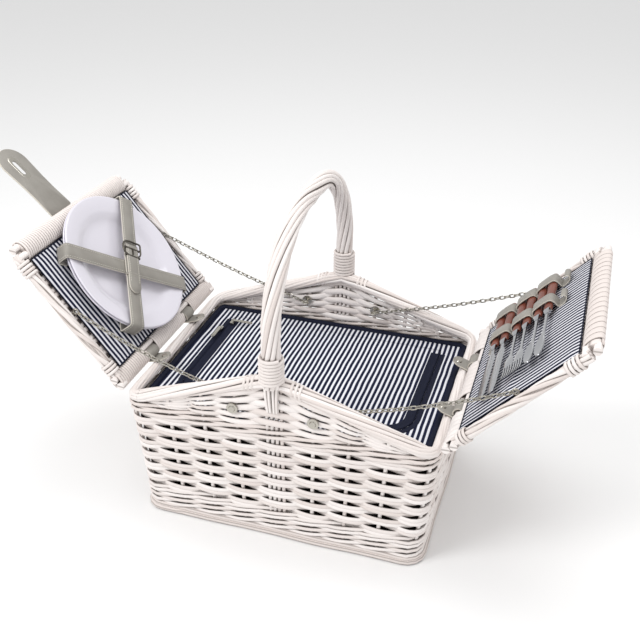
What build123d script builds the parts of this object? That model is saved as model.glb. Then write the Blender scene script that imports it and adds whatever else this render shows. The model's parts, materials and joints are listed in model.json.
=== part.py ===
from build123d import *

import os
from math import atan, cos, degrees, hypot, radians, sin, sqrt

# Wicker picnic basket, opened out. Millimetres, +Z up, +X along the length, -Y is the front.
# The origin is the middle of the underside. Both lids stand open at the stop of their chains.

os.makedirs("parts", exist_ok=True)

# Woven body
length_top = 400.0  # outside, over the end rims
length_base = 369.0
depth_top = 298.0  # outside, at the peak of the rim
depth_base = 279.0
end_height = 176.0  # rim height at the two ends
peak_height = 246.0  # rim height at the middle of the long sides
wall = 13.0
base_thickness = 12.0
foot_height = 14.0
foot_proud = 2.5
rim_thickness = 16.0
rim_proud = 1.0
rim_width_side = 20.0
rim_width_end = 14.0
corner_radius = 24.0

# Carrying handle
handle_diameter = 24.0
handle_top = 426.0
handle_inset = 3.0  # middle of each leg inside the widest rim
handle_bend = 122.0
binding_height = 28.0
binding_thickness = 3.0

# Lids, in each lid's own directions: u from the hinge outwards, y along the hinge, off inwards
lid_rim_clearance = 0.87  # between a closed lid's thickest rods and the rim
hinge_outside_rim = 4.0
open_angle_left = 51.4  # above the horizontal
open_angle_right = 47.4
hinge_rod_radius = 5.0
hinge_sleeve_radius = 7.5
lid_middle_gap = 3.1  # each lid's edge to the middle of the basket when closed, along the slope
lid_side_inset = 11.0  # lid's side inside the widest rim
rail_radius = 8.0
rail_end_inset = 15.0
roll_width = 27.0
roll_thickness = 18.0
roll_gap = 2.0  # between the edge roll's ends and the rails
panel_outer = -6.0
panel_inner = 2.0
lining_thickness = 3.0
lining_start = 18.0
lining_end_gap = 1.0
lining_gap = 4.0  # between the lining and the rails
joint_gap = 0.2

# Leather hinge tabs
tab_width = 22.0
tab_thickness = 2.0
tab_length = 27.0
tab_rivet_u = 19.0
tab_half_spacing = 54.0
tab_gap = 0.3
rivet_radius = 4.0
rivet_height = 1.4

# Chains and their fixings
chain_bolt_x = 50.0
chain_bolt_height = 192.0
chain_bolt_radius = 2.5
bolt_clearance = 0.05
washer_radius = 7.0
washer_thickness = 1.5
bolt_head_radius = 4.2
head_taper = 30.0
chain_eye_radius = 3.5
chain_eye_wire = 1.0
chain_lid_u = 104.0
chain_eye_inset = 1.5  # inside the rails
chain_eye_post = 1.2
chain_eye_off = 7.6
chain_eye_stand = 3.5
chain_radius = 2.2
chain_sag = 5.0

# Cooler bag
bag_clearance = 2.0
bag_top = 162.0
bag_wall = 8.0
bag_bottom_thickness = 8.0
bag_lid_thickness = 5.0
piping_width = 7.0
piping_height = 2.5
flap_side_inset = 32.3  # inside the bag's outline at its top
flap_front_inset = 35.3
flap_back_inset = 22.8
flap_corner = 34.0
flap_gap = 0.5
zip_tape_width = 12.0
zip_tape_thickness = 1.0
slider_length = 11.0
slider_width = 5.5
slider_height = 4.0
slider_corner = 1.8
slider_from_hinge = 46.0
pull_length = 30.0
pull_width = 5.0
pull_thickness = 1.2
pull_lift = 1.4
pull_corner = 2.3
pull_hole_radius = 1.25
pull_hole_inset = 3.0

# Plates and their straps
plate_diameter = 194.0
plate_height = 13.0
plate_wall = 2.6
plate_foot_radius = 62.0
plate_wall_run = 14.0  # from the foot out to the rim
plate_wall_skew = 2.0
plate_rim_rise = 3.0
plate_pitch = 4.4
plate_edge_inset = 5.0  # inside the lid's free edge
strap_width = 21.0
strap_thickness = 2.0
strap_a_ends = ((57.0, 66.0), (-78.0, -80.0))  # from the middle of the plates
strap_b_ends = ((59.0, -82.0), (-74.0, 63.0))
strap_foot_length = 12.0
strap_clearance = 0.6
buckle_from_end = 72.0
buckle_wire = 2.4
buckle_length = 20.0
prong_width = 1.8
prong_thickness = 1.6
prong_corner = 0.8

# Closing strap and turn lock
closure_width = 48.0
closure_thickness = 2.5
closure_free_length = 107.0
closure_tilt = 8.5
closure_anchor_length = 31.0
closure_anchor_inset = 2.0
slot_width = 8.0
slot_length = 23.0
slot_from_edge = 76.0
eyelet_width = 16.0
eyelet_length = 38.0
eyelet_thickness = 1.2
closure_gap_run = 11.9  # from the closing strap's bend to the right lid's edge, when closed
closure_lift = 7.0  # degrees that the closed strap lifts over the right lid's roll
lock_post_radius = 2.6
lock_stand_off = 13.5
knob_thickness = 4.0
knob_width = 6.0
knob_length = 20.0
lock_gap = 0.3

# Cutlery and its loops
cutlery_rows = {"knife": 60.0, "fork": 95.0, "spoon": 128.0}
cutlery_pitch = 15.2
cutlery_bottom = 8.8  # lowest face, above the lid's rails
grip_width = 14.0
grip_thickness = 10.0
grip_length = 96.0
grip_rounding = 3.5
butt_rounding = 2.0
butt_inset = 2.0  # inside the lining's edge
shaft_width = 6.0
shaft_thickness = 2.2
shaft_length = 62.0
head_length = {"knife": 62.0, "fork": 48.0, "spoon": 52.0}
head_width = {"knife": 13.0, "fork": 14.6, "spoon": 14.6}
tine_gap = 1.46
loop_strip_from_butt = {"upper": 20.0, "lower": 74.0}
loop_strip_width = 20.0
loop_tail = 11.0
loop_leather = 1.6
loop_gap = 0.5

# Worked out from the sizes above
roof_slope = (peak_height - end_height) / (length_top / 2)
roof_angle = degrees(atan(roof_slope))
reach = length_top
handle_radius = handle_diameter / 2
handle_spread = depth_top / 2 - handle_inset
hinge_x = length_top / 2 + hinge_outside_rim
hinge_above_roof = max(hinge_sleeve_radius, rail_radius) + lid_rim_clearance
hinge_z = peak_height - roof_slope * hinge_x + hinge_above_roof / cos(radians(roof_angle))
lid_length = hinge_x / cos(radians(roof_angle)) - lid_middle_gap
lid_half_width = depth_top / 2 - lid_side_inset
rail_inside = lid_half_width - 2 * rail_radius
roll_half_length = rail_inside - roll_gap
lining_half_width = rail_inside - lining_gap
lining_top = panel_inner + lining_thickness
chain_lid_y = rail_inside - chain_eye_inset
plate_u = lid_length - plate_edge_inset - plate_diameter / 2
lock_u = lid_length + closure_gap_run - slot_from_edge * cos(radians(closure_lift))
butt_y = lining_half_width - butt_inset


def half_length(z):
    return length_base / 2 + (length_top - length_base) / 2 * z / end_height


def half_depth(z):
    return depth_base / 2 + (depth_top - depth_base) / 2 * z / peak_height


def roof(x):
    return peak_height - roof_slope * abs(x)


def finish(piece, name):
    """Labels a finished piece and writes it."""
    piece.part.label = name
    export_step(piece.part, f"parts/{name}.step")


def tapered_block(z_low, z_high, grow_x, grow_y, mode=Mode.ADD, corner=corner_radius):
    """The basket's tapering outline between two heights, grown sideways by the amounts given."""
    outlines = []
    for z in (z_low, z_high):
        with BuildSketch(Plane.XY.offset(z)) as outline:
            RectangleRounded(2 * (half_length(z) + grow_x), 2 * (half_depth(z) + grow_y), corner)
        outlines.append(outline.sketch)
    loft(outlines, mode=mode)


def keep_under_roof(z_low, drop_high, drop_low=None):
    """Keeps what lies below the roof line dropped by drop_high, and above z_low or the lower line."""
    ends = roof(reach)
    top = [(-reach, ends - drop_high), (0, peak_height - drop_high), (reach, ends - drop_high)]
    if drop_low is None:
        bottom = [(reach, z_low), (-reach, z_low)]
        top[0] = (-reach, max(ends - drop_high, z_low + 1))
        top[2] = (reach, max(ends - drop_high, z_low + 1))
    else:
        bottom = [(reach, ends - drop_low), (0, peak_height - drop_low), (-reach, ends - drop_low)]
    with BuildSketch(Plane.XZ) as band:
        with BuildLine():
            Polyline(*top, *bottom, close=True)
        make_face()
    extrude(band.sketch, amount=reach, both=True, mode=Mode.INTERSECT)


def make_base():
    with BuildPart() as woven_base:
        inset = wall + joint_gap
        tapered_block(0, base_thickness, -inset, -inset, corner=corner_radius - wall)
    finish(woven_base, "woven_base")
    with BuildPart() as foot_border:
        tapered_block(0, foot_height, foot_proud, foot_proud)
        tapered_block(0, foot_height, -wall, -wall, Mode.SUBTRACT, corner_radius - wall)
    finish(foot_border, "foot_border")


def make_walls():
    with BuildPart() as woven_walls:
        tapered_block(foot_height, peak_height, 0, 0)
        tapered_block(foot_height, peak_height, -wall, -wall, Mode.SUBTRACT, corner_radius - wall)
        keep_under_roof(foot_height, rim_thickness)
        for side in (-1, 1):
            for front in (-1, 1):
                with Locations(wall_plane(side, front)):
                    Hole(chain_bolt_radius + bolt_clearance, depth=2 * wall)
    finish(woven_walls, "woven_walls")
    with BuildPart() as rim_border:
        low = end_height - 2 * rim_thickness
        tapered_block(low, peak_height, rim_proud, rim_proud)
        inside_x = rim_proud - rim_width_end
        inside_y = rim_proud - rim_width_side
        corner = corner_radius - rim_width_end
        tapered_block(low, peak_height, inside_x, inside_y, Mode.SUBTRACT, corner)
        keep_under_roof(low, 0, rim_thickness)
    finish(rim_border, "rim_border")


def wall_plane(side, front):
    """Where a chain bolt crosses a long wall: a plane on its outer face, local z pointing out."""
    lean = (depth_top - depth_base) / 2 / peak_height
    origin = (side * chain_bolt_x, front * half_depth(chain_bolt_height), chain_bolt_height)
    return Plane(origin=origin, x_dir=(1, 0, 0), z_dir=(0, front, -lean))


def handle_path():
    low = peak_height - handle_radius
    top = handle_top - handle_radius
    with BuildLine(Plane.YZ) as path:
        FilletPolyline(
            (-handle_spread, low), (-handle_spread, top), (handle_spread, top), (handle_spread, low),
            radius=handle_bend,
        )
    return path.line


def make_handle():
    with BuildPart() as handle_arch:
        path = handle_path()
        with BuildSketch(Plane(origin=path @ 0, z_dir=path % 0)) as section:
            Circle(handle_radius)
        sweep(section.sketch, path=path)
        cut_below_roof()
    finish(handle_arch, "handle_arch")
    with BuildPart() as handle_bindings:
        for side in (-1, 1):
            with BuildSketch(Plane.XY.offset(peak_height - handle_radius)) as ring:
                with Locations((0, side * handle_spread)):
                    Circle(handle_radius + binding_thickness)
                    Circle(handle_radius, mode=Mode.SUBTRACT)
            extrude(ring.sketch, amount=handle_radius + binding_height)
        cut_below_roof()
    finish(handle_bindings, "handle_bindings")


def cut_below_roof():
    """Takes away what lies below the roof line, so that a leg stands astride the rim."""
    with BuildSketch(Plane.XZ) as below:
        with BuildLine():
            Polyline(
                (-reach, roof(reach)), (0, peak_height), (reach, roof(reach)),
                (reach, 0), (-reach, 0), close=True,
            )
        make_face()
    extrude(below.sketch, amount=reach, both=True, mode=Mode.SUBTRACT)


def lid_plane(side, off=0.0, y=0.0, u=0.0):
    """A plane in an open lid, at off from its middle: local x runs outwards from the hinge."""
    angle = radians(open_angle_left if side < 0 else open_angle_right)
    along = Vector(side * cos(angle), 0, sin(angle))
    inwards = Vector(-side * sin(angle), 0, cos(angle))
    origin = Vector(side * hinge_x, y, hinge_z) + along * u + inwards * off
    return Plane(origin=origin, x_dir=along, z_dir=inwards)


def across_plane(side, y):
    """The plane across a lid at y, with local x outwards from the hinge and local y inwards."""
    base = lid_plane(side, y=y)
    return Plane(origin=base.origin, x_dir=base.x_dir, z_dir=base.x_dir.cross(base.z_dir))


def side_name(side):
    return "left" if side < 0 else "right"


def make_hinge_bar(side):
    """A round rod wound with willow, except where the leather tabs go round it."""
    bare = tab_half_spacing - tab_width / 2 - tab_gap
    bare_end = tab_half_spacing + tab_width / 2 + tab_gap
    with BuildPart() as hinge_bar:
        with BuildSketch(across_plane(side, 0)) as rod:
            Circle(hinge_rod_radius)
        extrude(rod.sketch, amount=lid_half_width, both=True)
        with BuildSketch(across_plane(side, 0)) as middle:
            Circle(hinge_sleeve_radius)
        extrude(middle.sketch, amount=bare, both=True)
        for end in (-1, 1):
            with BuildSketch(across_plane(side, end * bare_end)) as sleeve:
                Circle(hinge_sleeve_radius)
            length = lid_half_width - bare_end
            direction = (0, end, 0)
            extrude(sleeve.sketch, amount=length, dir=direction)
    finish(hinge_bar, f"lid_{side_name(side)}_hinge_bar")


def make_hinge_tabs(side):
    """Two leather tabs round the hinge rod, each with a tongue that lies on the rim."""
    with BuildPart() as tabs:
        for y in (-tab_half_spacing, tab_half_spacing):
            with BuildSketch(Plane(origin=(side * hinge_x, y, hinge_z), z_dir=(0, 1, 0))) as loop:
                Circle(hinge_rod_radius + tab_gap + tab_thickness)
                Circle(hinge_rod_radius + tab_gap, mode=Mode.SUBTRACT)
            extrude(loop.sketch, amount=tab_width / 2, both=True)
            with BuildSketch(roof_plane(side, y)) as tongue:
                with Locations((tab_length / 2 - tab_width / 4, 0)):
                    Rectangle(tab_length - tab_width / 2, tab_width)
                with Locations((tab_length - tab_width / 2, 0)):
                    Circle(tab_width / 2)
            extrude(tongue.sketch, amount=tab_thickness)
    finish(tabs, f"{side_name(side)}_hinge_tabs")


def roof_plane(side, y, lift=0.0, u=0.0):
    """A plane on the roof line below a hinge, local x towards the middle of the basket."""
    slope = radians(roof_angle)
    inwards = Vector(-side * cos(slope), 0, sin(slope))
    up = Vector(side * sin(slope), 0, cos(slope))
    foot = Vector(side * hinge_x, y, hinge_z) - up * hinge_above_roof
    return Plane(origin=foot + inwards * u + up * lift, x_dir=inwards, z_dir=up)


def make_tab_rivets():
    with BuildPart() as rivets:
        for side in (-1, 1):
            for y in (-tab_half_spacing, tab_half_spacing):
                with BuildSketch(roof_plane(side, y, tab_thickness, tab_rivet_u)) as head:
                    Circle(rivet_radius)
                extrude(head.sketch, amount=rivet_height, taper=head_taper)
    finish(rivets, "tab_rivets")


def make_lid_frame(side):
    name = side_name(side)
    start = hinge_sleeve_radius + joint_gap
    rail_y = lid_half_width - rail_radius
    with BuildPart() as rails:
        for y in (-rail_y, rail_y):
            base = lid_plane(side, y=y, u=start)
            with BuildSketch(Plane(origin=base.origin, z_dir=base.x_dir)) as rail:
                Circle(rail_radius)
            extrude(rail.sketch, amount=lid_length - rail_end_inset - start)
    finish(rails, f"lid_{name}_rails")
    roll_middle = lid_length - roll_width / 2
    with BuildPart() as roll:
        with BuildSketch(across_plane(side, 0)) as section:
            with Locations((roll_middle, 0)):
                Ellipse(roll_width / 2, roll_thickness / 2)
        extrude(section.sketch, amount=roll_half_length, both=True)
    finish(roll, f"lid_{name}_edge_roll")
    panel_end = lid_length - roll_width
    with BuildPart() as panel:
        with BuildSketch(lid_plane(side, panel_outer)) as sheet:
            with Locations(((start + panel_end) / 2, 0)):
                Rectangle(panel_end - start, 2 * rail_inside)
        extrude(sheet.sketch, amount=panel_inner - panel_outer)
    finish(panel, f"lid_{name}_woven_panel")
    with BuildPart() as lining:
        with BuildSketch(lid_plane(side, panel_inner)) as cloth:
            with Locations(((lining_start + panel_end - lining_end_gap) / 2, 0)):
                Rectangle(panel_end - lining_end_gap - lining_start, 2 * lining_half_width)
        extrude(cloth.sketch, amount=lining_thickness)
    finish(lining, f"lid_{name}_lining")


def add_eye(centre, x_dir, z_dir):
    """Adds a wire ring round the centre given, to the piece being made."""
    torus = Torus(chain_eye_radius, chain_eye_wire, mode=Mode.PRIVATE)
    add(Plane(origin=centre, x_dir=x_dir, z_dir=z_dir) * torus)


def make_chain_eyes(side):
    """Two wire eyes on a lid, in the seam between lining and rail, that the chains hook into."""
    with BuildPart() as eyes:
        for y in (-chain_lid_y, chain_lid_y):
            with BuildSketch(lid_plane(side, panel_inner, u=chain_lid_u, y=y)) as post:
                Circle(chain_eye_post)
            extrude(post.sketch, amount=chain_eye_off - chain_eye_radius - panel_inner)
            place = lid_plane(side, chain_eye_off, u=chain_lid_u, y=y)
            add_eye(place.origin, place.x_dir, (0, 1, 0))
    finish(eyes, f"lid_{side_name(side)}_chain_eyes")


def chain_wall_point(side, front):
    """Where a chain starts, in the eye on the inside of a long wall."""
    plane = wall_plane(side, front)
    inside = wall + washer_thickness + chain_eye_radius + chain_eye_stand
    return plane.origin - plane.z_dir * inside


def make_chain_bolts():
    """Bolts through the long walls: a washer and domed head outside, a washer and eye inside."""
    with BuildPart() as bolts:
        for side in (-1, 1):
            for front in (-1, 1):
                outer = wall_plane(side, front)
                with BuildSketch(outer) as washer:
                    Circle(washer_radius)
                extrude(washer.sketch, amount=washer_thickness)
                with BuildSketch(outer) as shank:
                    Circle(chain_bolt_radius)
                extrude(shank.sketch, amount=-(wall + washer_thickness))
                with BuildSketch(outer.offset(washer_thickness)) as head:
                    Circle(bolt_head_radius)
                extrude(head.sketch, amount=washer_thickness, taper=head_taper)
                with BuildSketch(outer.offset(-wall - washer_thickness)) as back_washer:
                    Circle(washer_radius)
                extrude(back_washer.sketch, amount=washer_thickness)
                with BuildSketch(outer.offset(-wall - washer_thickness)) as post:
                    Circle(chain_eye_post)
                extrude(post.sketch, amount=-chain_eye_stand)
                add_eye(chain_wall_point(side, front), (1, 0, 0), (0, 0, 1))
    finish(bolts, "chain_bolts")


def make_chain(side, front):
    """A lid chain as a plain tube, nearly taut between its wall eye and its lid eye."""
    start = chain_wall_point(side, front)
    clear = chain_eye_radius + chain_eye_wire + chain_radius
    end = lid_plane(side, chain_eye_off, u=chain_lid_u, y=front * chain_lid_y).origin
    span = end - start
    start = start + span.normalized() * clear
    end = end - span.normalized() * clear
    sag = Vector(0, 0, -chain_sag)
    thirds = [start + (end - start) * (1 / 3) + sag, start + (end - start) * (2 / 3) + sag]
    with BuildPart() as chain:
        with BuildLine() as route:
            FilletPolyline(start, *thirds, end, radius=(end - start).length)
        with BuildSketch(Plane(origin=route.line @ 0, z_dir=route.line % 0)) as section:
            Circle(chain_radius)
        sweep(section.sketch, path=route.line)
    name = "front" if front < 0 else "back"
    finish(chain, f"chain_{name}_{side_name(side)}")


def bag_grow():
    return -(wall + bag_clearance)


def flap_half_length():
    return half_length(bag_top) + bag_grow() - flap_side_inset


def flap_front():
    """Distance of the flap's front edge from the middle."""
    return half_depth(bag_top) + bag_grow() - flap_front_inset


def flap_back():
    return half_depth(bag_top) + bag_grow() - flap_back_inset


def flap_outline(height, grow):
    """The bag flap's outline at a height, grown by so much: square at the hinge, rounded in front."""
    middle = (flap_back() - flap_front()) / 2
    depth = flap_back() + flap_front()
    with BuildSketch(Plane.XY.offset(height)) as outline:
        with Locations((0, middle)):
            Rectangle(2 * flap_half_length() + 2 * grow, depth + 2 * grow)
        front_corners = outline.vertices().group_by(Axis.Y)[0]
        fillet(front_corners, flap_corner + grow)
    return outline.sketch


def make_bag():
    low = base_thickness
    grow = bag_grow()
    corner = corner_radius - wall
    panel_low = bag_top - bag_lid_thickness
    cut = bag_lid_thickness + 2
    with BuildPart() as bag_body:
        tapered_block(low, bag_top, grow, grow, corner=corner)
        inner = grow - bag_wall
        tapered_block(low + bag_bottom_thickness, panel_low, inner, inner, Mode.SUBTRACT, corner / 2)
        extrude(flap_outline(panel_low - 1, flap_gap), amount=cut, mode=Mode.SUBTRACT)
    finish(bag_body, "bag_body")
    with BuildPart() as piping:
        top = bag_top + piping_height
        tapered_block(bag_top, top, grow, grow, corner=corner)
        inner = grow - piping_width
        tapered_block(bag_top, top, inner, inner, Mode.SUBTRACT, corner - piping_width / 2)
    finish(piping, "bag_piping")
    with BuildPart() as bag_flap:
        extrude(flap_outline(panel_low, 0), amount=bag_lid_thickness)
    finish(bag_flap, "bag_flap")
    for name, outer, inner in (
        ("bag_zip_tape", flap_gap + zip_tape_width, flap_gap),
        ("flap_zip_tape", 0, -zip_tape_width),
    ):
        with BuildPart() as tape:
            extrude(flap_outline(bag_top, outer), amount=zip_tape_thickness)
            extrude(flap_outline(bag_top - 1, inner), amount=zip_tape_thickness + 2, mode=Mode.SUBTRACT)
            cut_behind_hinge()
        finish(tape, name)


def cut_behind_hinge():
    """The zip stops short of the flap's hinge."""
    stop = flap_back() - zip_tape_width
    with BuildSketch(Plane.XY.offset(bag_top - 1)) as behind:
        with Locations((0, stop + reach / 2)):
            Rectangle(2 * reach, reach)
    extrude(behind.sketch, amount=zip_tape_thickness + 2, mode=Mode.SUBTRACT)


def make_zip_slider(name, x, y):
    """A slider: a low block on the tape with a raised bridge for its pull."""
    with BuildPart() as slider:
        with BuildSketch(Plane.XY.offset(bag_top + zip_tape_thickness + lock_gap)) as body:
            with Locations((x, y)):
                RectangleRounded(slider_width, slider_length, slider_corner)
        extrude(body.sketch, amount=slider_height)
    finish(slider, name)


def make_zip_pull(name, x, y, along):
    """A pull tab that lies above the tape, with a hole at its free end."""
    pivot = Vector(x, y, pull_height())
    far = Vector(*along, 0).normalized()
    with BuildPart() as pull:
        with BuildSketch(Plane(origin=pivot, x_dir=far, z_dir=(0, 0, 1))) as tab:
            with Locations((pull_length / 2, 0)):
                RectangleRounded(pull_length, pull_width, pull_corner)
            with Locations((pull_length - pull_hole_inset, 0)):
                Circle(pull_hole_radius, mode=Mode.SUBTRACT)
        extrude(tab.sketch, amount=pull_thickness)
    finish(pull, name)


def pull_height():
    return bag_top + zip_tape_thickness + lock_gap + slider_height + pull_lift


def make_plate(name, lift):
    """A shallow round plate with a wide raised rim, its eating side facing inwards."""
    rim = plate_diameter / 2
    foot = plate_foot_radius
    shoulder = foot + plate_wall_run
    top = plate_height
    edge = top - plate_rim_rise
    skew = plate_wall_skew
    t = plate_wall
    base = lining_top + joint_gap + lift
    centre = lid_plane(-1, base, u=plate_u)
    turned = Plane(origin=centre.origin, x_dir=centre.x_dir, z_dir=centre.x_dir.cross(centre.z_dir))
    with BuildPart() as plate:
        with BuildSketch(turned) as section:
            with BuildLine():
                Polyline(
                    (0, 0), (foot, 0), (shoulder, edge - t), (rim, top - t), (rim, top),
                    (shoulder - skew, edge), (foot - skew, t), (0, t), close=True,
                )
            make_face()
        revolve(section.sketch, axis=Axis(centre.origin, centre.z_dir), revolution_arc=360)
    finish(plate, name)


def strap_frame(ends):
    """The plane through a plate strap's two ends, local x along it and local y inwards."""
    (u0, y0), (u1, y1) = ends
    base = lid_plane(-1)
    start = base.origin + base.x_dir * (plate_u + u0) + Vector(0, y0, 0)
    end = base.origin + base.x_dir * (plate_u + u1) + Vector(0, y1, 0)
    along = (end - start).normalized()
    return Plane(origin=start, x_dir=along, z_dir=along.cross(base.z_dir)), (end - start).length


def strap_height(extra):
    """How far a plate strap stands off the lid where it crosses the plates."""
    return lining_top + joint_gap + plate_pitch + plate_height + strap_clearance + extra


def strap_profile(ends, extra):
    """A strap's section along its length: round both plates' rims, with its feet turned in below."""
    plane, span = strap_frame(ends)
    (u0, y0), (u1, y1) = ends
    rim = plate_diameter / 2 + strap_clearance
    along_u, along_y = (u1 - u0) / span, (y1 - y0) / span
    middle = -u0 * along_u - y0 * along_y
    off_line = y0 * along_u - u0 * along_y
    half_chord = sqrt(rim * rim - off_line * off_line)
    low, high, t = lining_top, strap_height(extra), strap_thickness
    near, far = middle - half_chord - t, middle + half_chord + t
    near_foot, far_foot = near + strap_foot_length, far - strap_foot_length
    points = [
        (near_foot, low), (near - t, low), (near - t, high + t), (far + t, high + t), (far + t, low),
        (far_foot, low), (far_foot, low + t), (far, low + t), (far, high), (near, high),
        (near, low + t), (near_foot, low + t),
    ]
    return plane, points


def make_plate_strap(name, ends, extra):
    plane, points = strap_profile(ends, extra)
    with BuildPart() as strap:
        with BuildSketch(plane) as section:
            with BuildLine():
                Polyline(*points, close=True)
            make_face()
        extrude(section.sketch, amount=strap_width / 2, both=True)
    finish(strap, name)


def buckle_plane():
    """On top of the first plate strap, local x along the strap."""
    plane, span = strap_frame(strap_a_ends)
    lift = strap_height(strap_thickness + strap_clearance) + strap_thickness
    origin = plane.origin + plane.x_dir * buckle_from_end + plane.y_dir * (lift + joint_gap)
    return Plane(origin=origin, x_dir=plane.x_dir, z_dir=plane.y_dir)


def make_buckle():
    frame_half = strap_width / 2 + buckle_wire
    with BuildPart() as buckle:
        with BuildSketch(buckle_plane()) as frame:
            RectangleRounded(buckle_length, 2 * frame_half + buckle_wire, buckle_wire)
            Rectangle(buckle_length - 2 * buckle_wire, 2 * frame_half - buckle_wire, mode=Mode.SUBTRACT)
            Rectangle(buckle_wire, 2 * frame_half)
        extrude(frame.sketch, amount=buckle_wire)
    finish(buckle, "plate_strap_buckle")
    with BuildPart() as prong:
        with BuildSketch(buckle_plane().offset(buckle_wire + lock_gap)) as pin:
            with Locations((buckle_length / 4, 0)):
                RectangleRounded(buckle_length / 2, prong_width, prong_corner)
        extrude(pin.sketch, amount=prong_thickness)
    finish(prong, "plate_strap_buckle_prong")


def make_closure():
    """The closing strap, stitched to the outside of the left lid's edge roll."""
    outer = -roll_thickness / 2
    anchor_middle = lid_length - closure_anchor_inset - closure_anchor_length / 2
    with BuildPart() as root:
        with BuildSketch(lid_plane(-1, outer - closure_thickness)) as anchor:
            with Locations((anchor_middle, 0)):
                Rectangle(closure_anchor_length, closure_width)
        extrude(anchor.sketch, amount=closure_thickness)
    finish(root, "closure_strap_anchor")
    length = closure_free_length
    plane = closure_plane()
    slot_x = slot_from_edge
    with BuildPart() as strap:
        with BuildSketch(plane) as outline:
            with Locations(((length - closure_width / 2) / 2, 0)):
                Rectangle(length - closure_width / 2, closure_width)
            with Locations((length - closure_width / 2, 0)):
                Circle(closure_width / 2)
            with Locations((slot_x, 0)):
                SlotOverall(slot_length, slot_width, mode=Mode.SUBTRACT)
        extrude(outline.sketch, amount=closure_thickness)
    finish(strap, "closure_strap")
    with BuildPart() as eyelet:
        with BuildSketch(plane) as rim:
            with Locations((slot_x, 0)):
                SlotOverall(eyelet_length, eyelet_width)
                SlotOverall(slot_length, slot_width, mode=Mode.SUBTRACT)
        extrude(rim.sketch, amount=-eyelet_thickness)
    finish(eyelet, "closure_strap_eyelet")


def closure_plane():
    """The outer face of the hanging strap: local x to its tip, local z towards the lid's inside."""
    hinge = lid_plane(-1, -roll_thickness / 2 - closure_thickness / 2, u=lid_length)
    tilt = radians(closure_tilt)
    along = hinge.x_dir * cos(tilt) - hinge.z_dir * sin(tilt)
    inwards = hinge.z_dir * cos(tilt) + hinge.x_dir * sin(tilt)
    start = hinge.origin - inwards * (closure_thickness / 2) + along * lock_gap
    return Plane(origin=start, x_dir=along, z_dir=inwards)


def make_turn_lock():
    """A plate and post on the outside of the right lid, and the oval knob that turns on the post."""
    face = panel_outer
    with BuildPart() as lock:
        with BuildSketch(lid_plane(1, face - eyelet_thickness, u=lock_u)) as plate:
            SlotOverall(eyelet_length, eyelet_width)
        extrude(plate.sketch, amount=eyelet_thickness)
        with BuildSketch(lid_plane(1, face - lock_stand_off, u=lock_u)) as post:
            Circle(lock_post_radius)
        extrude(post.sketch, amount=lock_stand_off)
    finish(lock, "turn_lock_base")
    with BuildPart() as knob:
        with BuildSketch(lid_plane(1, face - lock_stand_off - lock_gap - knob_thickness, u=lock_u)) as grip:
            SlotOverall(knob_length, knob_width)
        extrude(grip.sketch, amount=knob_thickness)
    finish(knob, "turn_lock_knob")


def cutlery_places():
    """Each piece of cutlery: its name, its kind and how far it lies from the hinge."""
    places = []
    for kind, row in cutlery_rows.items():
        for number, step in ((1, -0.5), (2, 0.5)):
            places.append((f"{kind}_{number}", kind, row + step * cutlery_pitch))
    return places


def make_cutlery(name, kind, u):
    shaft_low = cutlery_bottom + grip_thickness / 2 - shaft_thickness / 2
    neck_y = butt_y - grip_length
    with BuildPart() as grip:
        with BuildSketch(across_plane(1, neck_y)) as section:
            with Locations((u, cutlery_bottom + grip_thickness / 2)):
                RectangleRounded(grip_width, grip_thickness, grip_rounding)
        extrude(section.sketch, amount=grip_length, dir=(0, 1, 0))
        fillet(grip.faces().sort_by(Axis.Y)[-1].edges(), butt_rounding)
    finish(grip, f"{name}_handle")
    head, width = head_length[kind], head_width[kind]
    with BuildPart() as steel:
        plane = lid_plane(1, shaft_low)
        with BuildSketch(plane) as outline:
            with Locations((u, neck_y - shaft_length / 2)):
                Rectangle(shaft_width, shaft_length)
            with Locations((u, neck_y - shaft_length - head / 2 + shaft_width)):
                if kind == "knife":
                    Rectangle(width, head)
                elif kind == "fork":
                    RectangleRounded(width, head, width / 3)
                    for gap in (-1, 0, 1):
                        with Locations((gap * width / 4, -head / 4)):
                            Rectangle(tine_gap, head, mode=Mode.SUBTRACT)
                else:
                    Ellipse(width / 2, head / 2)
        extrude(outline.sketch, amount=shaft_thickness)
    finish(steel, f"{name}_blade" if kind == "knife" else f"{name}_head")


def make_loop_strip(level, y):
    """A leather strip on the lining that arches over each pair of handles."""
    low = lining_top
    inner_top = cutlery_bottom + grip_thickness + loop_gap
    half = cutlery_pitch / 2 + grip_width / 2 + loop_gap
    first, last = min(cutlery_rows.values()), max(cutlery_rows.values())
    with BuildPart() as strip:
        with BuildSketch(across_plane(1, y)) as section:
            with Locations(((first + last) / 2, low + loop_leather / 2)):
                Rectangle(last - first + 2 * (half + loop_tail), loop_leather)
            for row in cutlery_rows.values():
                height = inner_top + loop_leather - low
                with Locations((row, low + height / 2)):
                    Rectangle(2 * (half + loop_leather), height)
            for row in cutlery_rows.values():
                tunnel = inner_top - low - loop_leather
                with Locations((row, low + loop_leather + tunnel / 2)):
                    Rectangle(2 * half, tunnel, mode=Mode.SUBTRACT)
        extrude(section.sketch, amount=loop_strip_width / 2, both=True)
    finish(strip, f"cutlery_loops_{level}")


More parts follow.
